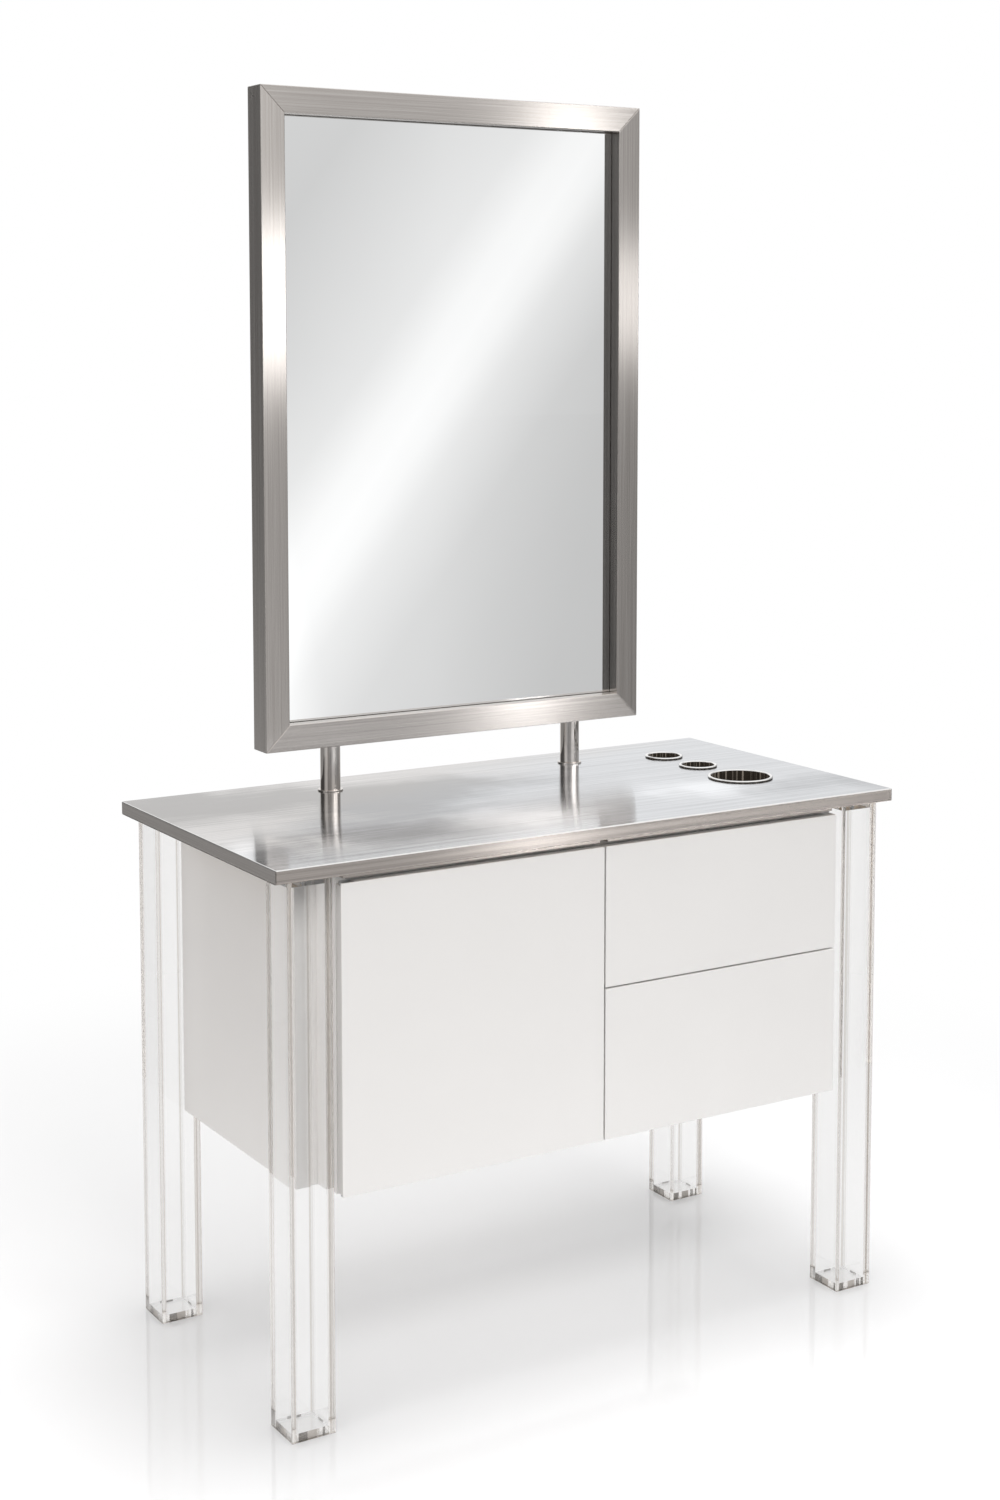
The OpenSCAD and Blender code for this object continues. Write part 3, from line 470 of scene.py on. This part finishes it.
def clear_plastic(name, dimming, painted_shade, shade_opaque=False):
    """Clear acrylic that swallows a little light, with a warm grey of painted shade where the
    given shade is 1. When asked, that painted grey is also less clear."""
    material, tree, shader = finish(name, IOR=1.49, Roughness=0.0, Transmission_Weight=1.0,
                                    Specular_IOR_Level=0.12)
    dark = painted_shade(tree)
    tree.links.new(tint(tree, dark, (1.0, 1.0, 1.0), ACRYLIC_PAINTED_SHADE), shader.inputs["Base Color"])
    # Where the painted shade lies, the acrylic is also less clear.
    if shade_opaque:
        tree.links.new(spread(tree, dark, 1.0, PLUG_SHADE_CLEAR, 0, 1),
                       shader.inputs["Transmission Weight"])
    body = add(tree, "VolumeAbsorption", {"Color": (0.78, 0.74, 0.70, 1), "Density": dimming})
    tree.links.new(body.outputs[0], existing(tree, "OUTPUT_MATERIAL").inputs["Volume"])
    return material


acrylic = clear_plastic("clear_acrylic", 5.0, leg_painted_shade)
plug_acrylic = clear_plastic("clear_plug", 8.0, plug_painted_shade, shade_opaque=True)
print("clear acrylic: walls of", 1000 * LEG_WALL, "mm")


# %% [markdown]
# ## Mirror glass, rubber and nylon
# A mirror is silver behind glass, so it is a metal with hardly any roughness. The bumpers are
# clear soft rubber and the bushes black nylon: both are moulded, and get the coated board's
# recipe with a finer ripple.

# %% Mirror glass, rubber and nylon
def silvered_glass(name):
    """A flat mirror: silver behind glass, with the faintest cloud of handling in its gloss."""
    material, tree, shader = finish(name, Metallic=1.0)
    haze = noise(tree, here_on(tree), 6.0)
    tree.links.new(tint(tree, haze, (0.925, 0.93, 0.93), (0.945, 0.95, 0.95)),
                   shader.inputs["Base Color"])
    tree.links.new(spread(tree, haze, 0.0, 0.012), shader.inputs["Roughness"])
    return material


bumper_clear = coated("bumper_rubber", (0.70, 0.70, 0.69), (0.76, 0.76, 0.75), (0.3, 0.4), 700.0)
black_nylon = coated("black_nylon", (0.02, 0.02, 0.02), (0.035, 0.035, 0.035), (0.4, 0.5), 900.0)
mirror_silver = silvered_glass("mirror_silver")
print("silvered glass, rubber and nylon")

# %% [markdown]
# ## Surfaces from grids of numbers
# Each new piece is one surface: a grid of points, worked out as whole arrays. Neighbours in the
# grid become a four-sided face. The grid of a piece wraps round both ways, like the skin of a
# ring, and only the floor's doesn't wrap. If the faces turn out to point inwards, the volume
# they enclose comes out negative, and the corners of each face are read in the other order.

# %% From grid to mesh
def faces_of(grid, wrap_rows, wrap_columns):
    """Corner numbers of each cell of a grid of points, wrapped round where asked."""
    number = np.arange(grid.shape[0] * grid.shape[1]).reshape(grid.shape[:2])
    cell = np.stack([number, np.roll(number, -1, 1), np.roll(number, -1, (0, 1)),
                     np.roll(number, -1, 0)], -1)
    rows = cell.shape[0] if wrap_rows else -1
    columns = cell.shape[1] if wrap_columns else -1
    return cell[:rows, :columns].reshape(-1, 4)


def volume_of(points, faces):
    """Six times the enclosed volume: the sum of a.(b x c) over triangles of each face."""
    a, b, c, d = (points[faces[:, k]] for k in range(4))
    return np.sum(a * np.cross(b, c)) + np.sum(a * np.cross(c, d))


def skin(name, grids):
    """One mesh from one or more grids that wrap both ways, its faces turned outwards."""
    points, faces, start = [], [], 0
    for grid in grids:
        flat = grid.reshape(-1, 3)
        cells = faces_of(grid, True, True)
        if volume_of(flat, cells) < 0:
            cells = cells[:, ::-1]
        points.append(flat)
        faces.append(cells + start)
        start += len(flat)
    mesh = bpy.data.meshes.new(name)
    mesh.from_pydata(np.concatenate(points), [], np.concatenate(faces))
    mesh.validate()
    mesh.shade_smooth()
    return mesh


def shade_evenly(piece):
    """Lets a piece's large faces lead its shading, so that its small rounds don't bend it."""
    even = piece.modifiers.new("even_shading", "WEIGHTED_NORMAL")
    even.keep_sharp = False


def show(name, mesh, material, body, stands_for):
    """Puts a mesh in the scene as a piece that rides on a body and stands for CAD nodes. The
    clear legs cast no shadow."""
    piece = bpy.data.objects.new(name, mesh)
    bpy.context.scene.collection.objects.link(piece)
    mesh.materials.append(material)
    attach(piece, body)
    piece.visible_shadow = material is not acrylic
    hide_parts(*stands_for)
    shade_evenly(piece)
    print(name, "-", len(mesh.vertices), "points")


# %% [markdown]
# ## Clear legs
# A leg is a length of square acrylic tube. Its cross-section is a square with slightly round
# corners, and its wall has polished, slightly round rims at both ends. So the surface is a
# walk round the wall's section, up the outside, over the rim, down the inside and under the
# foot, and each step of that walk is a square ring of its own size.

# %% Square rings and rounded walks
ARC_STEPS, ROUND_STEPS = 4, 3


def square_rings(half, corner):
    """Rings round a square: for each ring its half width and corner radius. A point is the
    corner's centre plus the radius times (cos, sin) of a turn that runs on round the square."""
    quarter = np.arange(4) * np.pi / 2
    turn = (quarter[:, None] + np.linspace(0, np.pi / 2, ARC_STEPS + 1)).ravel()
    middle = np.repeat(quarter + np.pi / 4, ARC_STEPS + 1)
    toward = np.sign(np.stack([np.cos(middle), np.sin(middle)], -1))
    arc = np.stack([np.cos(turn), np.sin(turn)], -1)
    centre = (half - corner)[:, None, None] * toward
    return centre + corner[:, None, None] * arc


def rounded_walk(corners, radius):
    """A closed walk round a polygon with each corner rounded off by a quadratic curve that
    starts and ends one radius from the corner."""
    corners = np.asarray(corners, float)
    before, after = np.roll(corners, 1, 0), np.roll(corners, -1, 0)

    def near(other):
        way = other - corners
        return corners + way / np.linalg.norm(way, axis=1, keepdims=True) * radius

    t = np.linspace(0, 1, ROUND_STEPS + 1)[None, :, None]
    a, b, c = near(before)[:, None], corners[:, None], near(after)[:, None]
    return ((1 - t) ** 2 * a + 2 * t * (1 - t) * b + t ** 2 * c).reshape(-1, 2)


# %% Legs
LEG_EDGE = 0.0008


def square_tube(low, high, wall, edge):
    """A square tube between two corners: a walk round its wall's section, carried round the
    square. The walk's first number is the depth into the wall and its second the height."""
    half = (high[0] - low[0]) / 2
    middle = ((low[0] + high[0]) / 2, (low[1] + high[1]) / 2)
    walk = rounded_walk([(0, low[2]), (0, high[2]), (wall, high[2]), (wall, low[2])], edge)
    rings = square_rings(half - walk[:, 0], np.full(len(walk), edge))
    height = np.broadcast_to(walk[:, 1, None, None], (*rings.shape[:2], 1))
    return np.concatenate([rings + middle, height], -1)


for leg in ("front_left", "front_right", "back_left", "back_right"):
    low, high = (np.array(corner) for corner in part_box("leg_" + leg))
    show("clear_leg_" + leg, skin("clear_leg", [square_tube(low, high, LEG_WALL, LEG_EDGE)]),
         acrylic, "station", ["leg_" + leg])

# %% [markdown]
# ## Tool cups
# The cups are spun from one sheet: a flat bottom, a round corner, a straight wall and a rim
# that is rolled over outwards and lies on the top. A half section, walked from the middle of
# the bottom up inside, over the rim and down outside, is turned once round its axis.

# %% Cups
TURNS = 96
NEAR_AXIS = 1e-4
CUP_WALL, FLOOR_BEND = 0.001, 0.006
RIM_REACH, RIM_HEIGHT, RIM_BEND = 0.0057, 0.0036, 0.0004


def arc(centre, radius, start, end, steps):
    """Points on a circle's arc, from one angle to another, in degrees."""
    angle = np.radians(np.linspace(start, end, steps + 1))
    return np.stack([centre[0] + radius * np.cos(angle), centre[1] + radius * np.sin(angle)], -1)


def cup_section(bore, floor, top):
    """The half section of a cup from its axis, as radius and height, inside and outside."""
    roll = RIM_HEIGHT / 2
    inside = np.concatenate([
        [(NEAR_AXIS, floor + CUP_WALL)],
        arc((bore - FLOOR_BEND, floor + CUP_WALL + FLOOR_BEND), FLOOR_BEND, -90, 0, 8),
        arc((bore + roll, top + RIM_HEIGHT - roll), roll, 180, 90, 8)])
    outside = np.concatenate([
        arc((bore + RIM_REACH - roll, top + roll), roll, 90, -90, 12),
        [(bore + CUP_WALL + RIM_BEND, top), (bore + CUP_WALL, top - RIM_BEND)],
        arc((bore - FLOOR_BEND, floor + FLOOR_BEND + CUP_WALL), FLOOR_BEND + CUP_WALL, 0, -90, 8),
        [(NEAR_AXIS, floor)]])
    return np.concatenate([inside, outside])


def turned(section, centre):
    """A section turned once round an upright axis: (radius cos, radius sin, height)."""
    angle = np.arange(TURNS) / TURNS * 2 * np.pi
    ring = np.stack([np.cos(angle), np.sin(angle)], -1)
    flat = section[:, 0, None, None] * ring + np.asarray(centre[:2])
    height = np.broadcast_to(section[:, 1, None, None], (*flat.shape[:2], 1))
    return np.concatenate([flat, height], -1)


for cup in ("cup_back", "cup_middle", "cup_large"):
    low, high = (np.array(corner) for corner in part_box(cup))
    bore = (high[0] - low[0]) / 2 - RIM_REACH
    section = cup_section(bore, low[2], TOP_HEIGHT)
    show("tool_" + cup, skin(cup, [turned(section, (low + high) / 2)]), cup_steel, "station",
         [cup])

# %% [markdown]
# ## Mirror posts
# Two round steel tubes carry the mirror, each on a flat collar that hides its bolt hole. They
# are turned like the cups, from the outline of the tube's wall and of the collar's plate. The
# photograph shows them a little stouter than the CAD model has them.

# %% Posts and collars
POST_RADIUS, POST_WALL, COLLAR_RADIUS, BOLT_HOLE = 0.018, 0.002, 0.0225, 0.0062
POST_EDGE = 0.0004


def pipe_wall(outer, inner, low, high):
    """The half section of an upright pipe or ring, its four edges rounded."""
    return rounded_walk([(outer, low), (outer, high), (inner, high), (inner, low)], POST_EDGE)


collar_low, collar_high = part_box("post_collars")
collars = []
for side in ("left", "right"):
    low, high = (np.array(corner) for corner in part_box("post_" + side))
    middle = (low + high) / 2
    tube = pipe_wall(POST_RADIUS, POST_RADIUS - POST_WALL, low[2], high[2])
    show("mirror_post_" + side, skin("mirror_post", [turned(tube, middle)]), steel_post,
         "station", ["post_" + side])
    plate = pipe_wall(COLLAR_RADIUS, BOLT_HOLE, collar_low[2], collar_high[2])
    collars.append(turned(plate, middle))
show("mirror_post_collars", skin("mirror_post_collars", collars), steel_post, "station",
     ["post_collars"])

# %% [markdown]
# ## Softened edges on the CAD pieces
# No real edge is knife sharp, and the light line along an edge is what makes a sheet or a
# board look real. The CAD pieces keep their own meshes: their loose triangles are welded and
# bevelled by modifiers, each with the edge its maker would leave.

# %% Edges
WELD_REACH = 1e-5
EDGE_STEPS, EDGE_ANGLE = 2, math.radians(40)


def soften(node, width):
    """Welds a CAD node's triangles and rounds its edges, both as modifiers, and shades it
    evenly. The work top has holes, which would pull at even shading, so it is shaded flat."""
    weld = cad[node].modifiers.new("weld", "WELD")
    weld.merge_threshold = WELD_REACH
    edge = cad[node].modifiers.new("edge", "BEVEL")
    edge.width = width
    edge.segments = EDGE_STEPS
    edge.limit_method = "ANGLE"
    edge.angle_limit = EDGE_ANGLE
    edge.use_clamp_overlap = False
    edge.loop_slide = False
    if node == "top_skin":
        cad[node].data.shade_flat()
    else:
        shade_evenly(cad[node])


EDGES = {
    0.0017: ["top_skin"],
    0.0012: ["frame_top", "frame_bottom", "frame_left", "frame_right"],
    0.0008: ["door_panel", "drawer_upper_front", "drawer_lower_front"],
    0.0005: ["end_panel_left", "end_panel_right", "leg_fillers", "cheek_left", "cheek_right",
             "divider", "carcass_bottom", "shelf", "reveal_strip_left", "reveal_strip_right"],
}
for width, softened in EDGES.items():
    for node in softened:
        soften(node, width)
print("edges rounded on", sum(len(names) for names in EDGES.values()), "pieces")

# %% [markdown]
# ## Finishes on the CAD pieces
# Every other piece keeps its CAD shape and gets its finish here, by name.

# %% Finishes
FINISHES = {
    steel_top: ["top_skin"],
    steel_rail: ["frame_top", "frame_bottom"],
    shaded_steel_strip: ["reveal_strip_left", "reveal_strip_right"],
    steel_stile: ["frame_left", "frame_right"],
    zinc: ["leg_bolts", "leg_inserts", "post_bolts", "post_nuts", "post_washers",
           "mirror_angles", "mirror_screws", "cabinet_screws", "shelf_pins", "hinge_plates",
           "catch_strike", "slide_outers", "slide_mids_upper", "slide_mids_lower",
           "slide_inners_upper", "slide_inners_lower", "slide_cages_upper",
           "slide_cages_lower"],
    lacquer: ["end_panel_left", "end_panel_right", "leg_fillers", "cheek_left", "cheek_right",
              "divider", "carcass_bottom", "carcass_back", "carcass_rails", "shelf",
              "door_panel", "drawer_upper_front", "drawer_lower_front"],
    melamine: ["drawer_upper_box", "drawer_upper_bottom", "drawer_lower_box",
               "drawer_lower_bottom"],
    raw_board: ["top_core", "mirror_backer"],
    acrylic: ["leg_head_plugs"],
    plug_acrylic: ["leg_foot_plugs"],
    mirror_silver: ["mirror_glass"],
    bumper_clear: ["bumpers"],
    black_nylon: ["hinge_bushes", "catch_body"],
}
for material, finished in FINISHES.items():
    for node in finished:
        mesh = cad[node].data
        mesh.materials.clear()
        mesh.materials.append(material)
cad["leg_head_plugs"].visible_shadow = False
print("finishes on", sum(len(names) for names in FINISHES.values()), "CAD pieces")

# %% [markdown]
# ## The studio
# White furniture on white needs a background that every looking ray finds white, and a floor
# that still takes a shadow. What metal mirrors is another matter: steel that mirrors only white
# looks like paper, so in reflections the studio is bright in front, grey on the right and
# nearly black on the left. One function of a direction gives that tone, for the world and for
# the far floor alike.

# %% The studio's tone
LOW_STOPS = [(-0.95, 0.60), (-0.86, 0.60), (-0.80, 0.05), (-0.42, 0.05), (0.05, 0.70),
             (0.37, 0.70), (0.43, 0.42), (0.50, 0.38), (0.57, 0.26), (0.66, 0.22), (0.75, 0.15)]
HIGH_STOPS = [(-0.95, 0.80), (-0.86, 0.80), (-0.80, 0.05), (-0.42, 0.07), (0.05, 1.2),
              (0.37, 1.2), (0.43, 0.50), (0.50, 0.46), (0.57, 0.31), (0.66, 0.28), (0.75, 0.22)]
OVERHEAD_TONE, LEFT_TONE, LEFT_FLOOR_TONE, RIGHT_TONE = 1.1, 0.12, 0.36, 0.5
HORIZON, OVERHEAD, UNDER_HORIZON = (-0.01, 0.10), (0.10, 0.35), (-0.20, 0.0)
LEFT_SIDE, FAR_RIGHT, BEHIND = (-0.35, 0.05), (0.64, 0.74), (-0.05, 0.25)


def studio_tone(tree, direction):
    """How bright a reflected direction is. In front it follows two profiles from left to right,
    one under the horizon and one over it. Behind the station it is white, but dark on the left
    and grey on the far right."""
    part = parts_of(tree, direction)
    front = blend(tree, rise(tree, part["Z"], *HORIZON), profile(tree, part["X"], LOW_STOPS),
                  profile(tree, part["X"], HIGH_STOPS))
    front = blend(tree, rise(tree, part["Z"], *OVERHEAD), front, OVERHEAD_TONE)
    left = spread(tree, part["Z"], LEFT_FLOOR_TONE, LEFT_TONE, *UNDER_HORIZON)
    right = spread(tree, part["X"], 1.0, RIGHT_TONE, *FAR_RIGHT)
    back = blend(tree, rise(tree, part["X"], *LEFT_SIDE), left, right)
    return blend(tree, rise(tree, part["Y"], *BEHIND), front, back)


# %% What a ray finds
CLEAR_FRONT, FRONT_TO_BACK = 0.45, (-0.2, 0.2)
SOME = 0.5


def looked_at(tree, direction, lighting):
    """The strength that a ray finds: white for the camera, white or grey through clear acrylic,
    the studio's tone for a reflection, and the lighting level for everything else. A ray that
    left a painted face before it went through acrylic is one that lights, not one that looks.
    A ray's depths are counts, and SOME lies between none and one."""
    kind = add(tree, "LightPath").outputs
    looks = maths(tree, "LESS_THAN", kind["Diffuse Depth"], SOME)
    clear = maths(tree, "GREATER_THAN", kind["Transmission Depth"], SOME)
    clear = maths(tree, "MULTIPLY", clear, looks)
    glossy = maths(tree, "MULTIPLY", kind["Is Glossy Ray"], looks)
    lit = blend(tree, glossy, lighting, studio_tone(tree, direction))
    through = spread(tree, parts_of(tree, direction)["Y"], CLEAR_FRONT, 1.0, *FRONT_TO_BACK)
    lit = blend(tree, clear, lit, through)
    return blend(tree, kind["Is Camera Ray"], lit, 1.0)


# %% [markdown]
# ## The world
# The world is what a ray finds when it meets nothing. Its strength is the function above.

# %% World
AMBIENT = 0.52
world = bpy.data.worlds.new("studio")
bpy.context.scene.world = world
world.use_nodes = True
tree = world.node_tree
background = existing(tree, "BACKGROUND")
direction = add(tree, "TexCoord").outputs["Generated"]
tree.links.new(looked_at(tree, direction, AMBIENT), background.inputs["Strength"])
background.inputs["Color"].default_value = (1, 1, 1, 1)
print("world: white to look at, grey and dark in reflections, ambient", AMBIENT)

# %% [markdown]
# ## The floor
# Near the station the floor is a glossy white sheet, which takes the shadow and a soft
# reflection of the legs. Further away it fades into the studio's tone, so that its edge never
# shows. Seen through the clear legs it is mostly a plain glow, so that the panes stay as bright
# as the floor beside them.

# %% Floor
FLOOR_LEVEL = -0.0003
FLOOR_HALF = 40.0
FADE_START, FADE_END = 0.8, 2.3
THROUGH_SHARE, THROUGH_TONE = 0.75, 0.9
EYE = (0.0, 0.0, 1.0)


def ground():
    """A wide square floor, a hair under the feet so that no two faces share a plane."""
    side = np.linspace(-FLOOR_HALF, FLOOR_HALF, 3)
    x, y = np.meshgrid(side, side)
    grid = np.stack([x, y, np.full_like(x, FLOOR_LEVEL)], -1)
    mesh = bpy.data.meshes.new("floor")
    mesh.from_pydata(grid.reshape(-1, 3), [], faces_of(grid, False, False))
    floor = bpy.data.objects.new("floor", mesh)
    bpy.context.scene.collection.objects.link(floor)
    return floor


def floor_finish(name):
    """Glossy white near the station, and the studio's even tone further away."""
    material, tree, shader = finish(name, Base_Color=(0.85, 0.85, 0.855), Roughness=0.06,
                                    Specular_IOR_Level=0.65)
    here = here_on(tree)
    fade = spread(tree, vector_maths(tree, "LENGTH", here), 0.0, 1.0, FADE_START, FADE_END,
                  smooth=True)
    direction = vector_maths(tree, "NORMALIZE", vector_maths(tree, "SUBTRACT", here, EYE))
    even = add(tree, "Emission", {"Strength": looked_at(tree, direction, 0.0)})
    mix = add(tree, "MixShader", {0: fade, 1: shader.outputs[0], 2: even.outputs[0]})
    through = add(tree, "LightPath").outputs["Is Transmission Ray"]
    through = maths(tree, "MULTIPLY", through, THROUGH_SHARE)
    under = add(tree, "Emission", {"Strength": THROUGH_TONE})
    mix = add(tree, "MixShader", {0: through, 1: mix.outputs[0], 2: under.outputs[0]})
    tree.links.new(mix.outputs[0], existing(tree, "OUTPUT_MATERIAL").inputs[0])
    return material


floor = ground()
floor.data.materials.append(floor_finish("floor_white"))
print("floor: glossy white near the station, even tone beyond", FADE_END, "m")


# %% [markdown]
# ## Lamps
# Three soft lamps light everything: a key in front, one overhead and a warmer fill on the left.
# The bright flashes on the brushed steel come from tall upright lamps very far away, so that a
# whole flat face sees each in one direction. Every flash is linked to its own steel pieces, so
# the mirror and the lacquer don't show it. A few small lamps lift pieces that the others leave
# too dark. Of these and the first three, only the posts' lamp shows in reflections, because
# round steel shines by what it mirrors.

# %% Lamp helpers
FLASH_RISE, FLASH_FAR = math.radians(1.0), 300.0
FRAME_MIDDLE = (0.0, 0.2, 1.6)


def softbox(name, place_at, look_at, wide, high, watts):
    """An upright area lamp of a width and a height at a place, turned towards a point."""
    lamp = bpy.data.lights.new(name, "AREA")
    lamp.shape = "RECTANGLE"
    lamp.size, lamp.size_y = wide, high
    lamp.energy = watts
    made = bpy.data.objects.new(name, lamp)
    bpy.context.scene.collection.objects.link(made)
    way = np.array(look_at) - np.array(place_at)
    way = way / np.linalg.norm(way)
    made.matrix_world = Matrix.LocRotScale(
        place_at, Matrix(looking(math.atan2(way[0], way[1]), math.asin(way[2])).tolist()), None)
    return made


def shine_on(lamp, names):
    """Links a lamp or a glowing card to a few pieces, so that nothing else sees its light."""
    group = bpy.data.collections.new(lamp.name + "_targets")
    for name in names:
        group.objects.link(bpy.data.objects[name] if name in bpy.data.objects else cad[name])
    lamp.light_linking.receiver_collection = group


def flash(name, azimuth, wide, high, watts, names):
    """An upright lamp, so far away that all steel sees it in one direction. Its azimuth is in
    degrees, from straight in front towards the right."""
    turn = math.radians(azimuth)
    toward = np.array([math.sin(turn), -math.cos(turn), math.tan(FLASH_RISE)])
    lamp = softbox(name, tuple(FRAME_MIDDLE + toward * FLASH_FAR), FRAME_MIDDLE, wide, high,
                   watts)
    shine_on(lamp, names)


# %% Lamps
FILL_COLOUR = (1.0, 0.96, 0.93)
SLAB = ["top_skin", "reveal_strip_left", "reveal_strip_right"]
FRONTS = ["door_panel", "drawer_upper_front", "drawer_lower_front"]
REAR = ["carcass_back", "cheek_left", "cheek_right", "leg_fillers", "end_panel_left",
        "end_panel_right"]
POSTS = ["mirror_post_left", "mirror_post_right", "mirror_post_collars"]
# Name, place, the point it looks at, width, height and watts, then the pieces it is kept to
ROOM_LAMPS = [
    ("key", (-0.2, -4.0, 3.8), (0, 0, 0.9), 2.4, 2.4, 130),
    ("overhead", (0.3, 0.2, 4.2), (0, 0, 0), 1.8, 1.8, 100),
    ("fill", (-4.2, -1.2, 1.6), (-0.5, 0, 0.6), 1.8, 2.2, 51),
]
SMALL_LAMPS = [
    ("corner_light", (-2.6, -2.6, 1.0), (-0.5, -0.25, 0.6), 1.0, 1.0, 28,
     ["leg_fillers", "cheek_left"]),
    ("side_light", (2.8, -0.8, 1.0), (0.53, 0.0, 0.6), 1.0, 1.0, 45,
     ["end_panel_right", "cheek_right", "leg_fillers"]),
    ("front_light", (1.6, -2.2, 1.3), (0.3, -0.29, 0.8), 1.0, 1.0, 5, FRONTS),
    ("back_light", (-0.8, 3.2, 1.2), (0.0, 0.25, 0.6), 1.6, 1.6, 70, REAR),
    ("post_light", (2.1, -3.0, 1.2), (-0.1, 0.2, 0.96), 3.4, 2.5, 52, POSTS),
]
# Name, azimuth, width, height, watts and pieces
FLASHES = [
    ("stile_flash", 26.0, 5.0, 19.0, 16500, ["frame_left"]),
    ("right_flash", 34.7, 5.0, 14.0, 6800, ["frame_right"]),
    ("rail_flash", 31.8, 5.0, 23.0, 15000, ["frame_bottom"]),
    ("top_rail_flash", 33.2, 5.0, 23.0, 9500, ["frame_top"]),
    ("slab_flash", 31.5, 5.0, 23.0, 36000, SLAB),
    ("slab_glow", 38.0, 44.0, 23.0, 42000, SLAB),
]

lamps = {row[0]: softbox(*row) for row in ROOM_LAMPS}
lamps["fill"].data.color = FILL_COLOUR
for row in FLASHES:
    flash(*row)
for *row, lit in SMALL_LAMPS:
    lamps[row[0]] = softbox(*row)
    shine_on(lamps[row[0]], lit)
for name, lamp in lamps.items():
    lamp.visible_glossy = lamp.visible_transmission = (name == "post_light")
print("lamps:", len(ROOM_LAMPS), "for the room,", len(FLASHES), "flashes and",
      len(SMALL_LAMPS), "for single pieces")


# %% [markdown]
# ## What the mirror sees
# A mirror in an empty white room is just white. One card in front gives it a soft diagonal band
# of light, as from a tall window. The card is clear apart from its glow, and its glow reaches
# only the glass. Its place follows from the camera: lines of sight to the glass are mirrored
# and carried on to the card's plane.

# %% Mirror card
CARD_Y, CARD_MARGIN = -5.0, 0.1
BAND_FROM, BAND_TO = (-0.317, 1.262), (0.262, 2.020)
LEVELS = [(-2.0, 0.18), (-1.0, 0.20), (-0.32, 0.45), (-0.12, 0.62), (0.0, 0.66), (0.1, 0.63),
          (0.24, 0.50), (0.55, 0.37), (0.88, 0.34), (2.0, 0.33)]


def band_of_light(name, start, toward, levels):
    """A clear sheet with a glow that follows the distance from a slanting line: brightest on
    the line, falling slowly to one side and faster to the other."""
    material = bpy.data.materials.new(name)
    material.use_nodes = True
    tree = material.node_tree
    tree.nodes.clear()
    run = np.array(toward, float) - start
    run = run / np.linalg.norm(run)
    off = vector_maths(tree, "SUBTRACT", here_on(tree), (start[0], 0.0, start[1]))
    off = vector_maths(tree, "DOT_PRODUCT", off, (run[1], 0.0, -run[0]))
    clear = add(tree, "BsdfTransparent")
    glow = add(tree, "Emission", {"Strength": profile(tree, off, levels)})
    both = add(tree, "AddShader", {0: clear.outputs[0], 1: glow.outputs[0]})
    add(tree, "OutputMaterial", {0: both.outputs[0]})
    return material


def card(name, corners, material, names):
    """A four-sided card that only reflections of the named pieces show."""
    mesh = bpy.data.meshes.new(name)
    mesh.from_pydata(np.asarray(corners, float), [], [(0, 1, 2, 3)])
    mesh.materials.append(material)
    made = bpy.data.objects.new(name, mesh)
    bpy.context.scene.collection.objects.link(made)
    made.visible_camera = made.visible_diffuse = made.visible_shadow = False
    made.visible_transmission = False
    shine_on(made, names)


def glass_to_card(points):
    """Where the camera's view of glass points, mirrored, meets the card: from the mirrored
    camera straight through the glass to the card's plane."""
    glass_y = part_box("mirror_glass")[0][1]
    eye = np.array([CAMERA_PLACE[0], 2 * glass_y - CAMERA_PLACE[1], CAMERA_PLACE[2]])
    reach = (CARD_Y - eye[1]) / (glass_y - eye[1])
    return eye[[0, 2]] + (np.asarray(points, float) - eye[[0, 2]]) * reach


glass_low, glass_high = (np.array(corner)[[0, 2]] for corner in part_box("mirror_glass"))
card_low, card_high = glass_to_card([glass_low - CARD_MARGIN, glass_high + CARD_MARGIN])
band_start, band_end = glass_to_card([BAND_FROM, BAND_TO])
corners = [(card_low[0], CARD_Y, card_low[1]), (card_high[0], CARD_Y, card_low[1]),
           (card_high[0], CARD_Y, card_high[1]), (card_low[0], CARD_Y, card_high[1])]
card("mirror_card", corners, band_of_light("band_of_light", band_start, band_end, LEVELS),
     ["mirror_glass"])
print("mirror card from", np.round(card_low, 2), "to", np.round(card_high, 2))
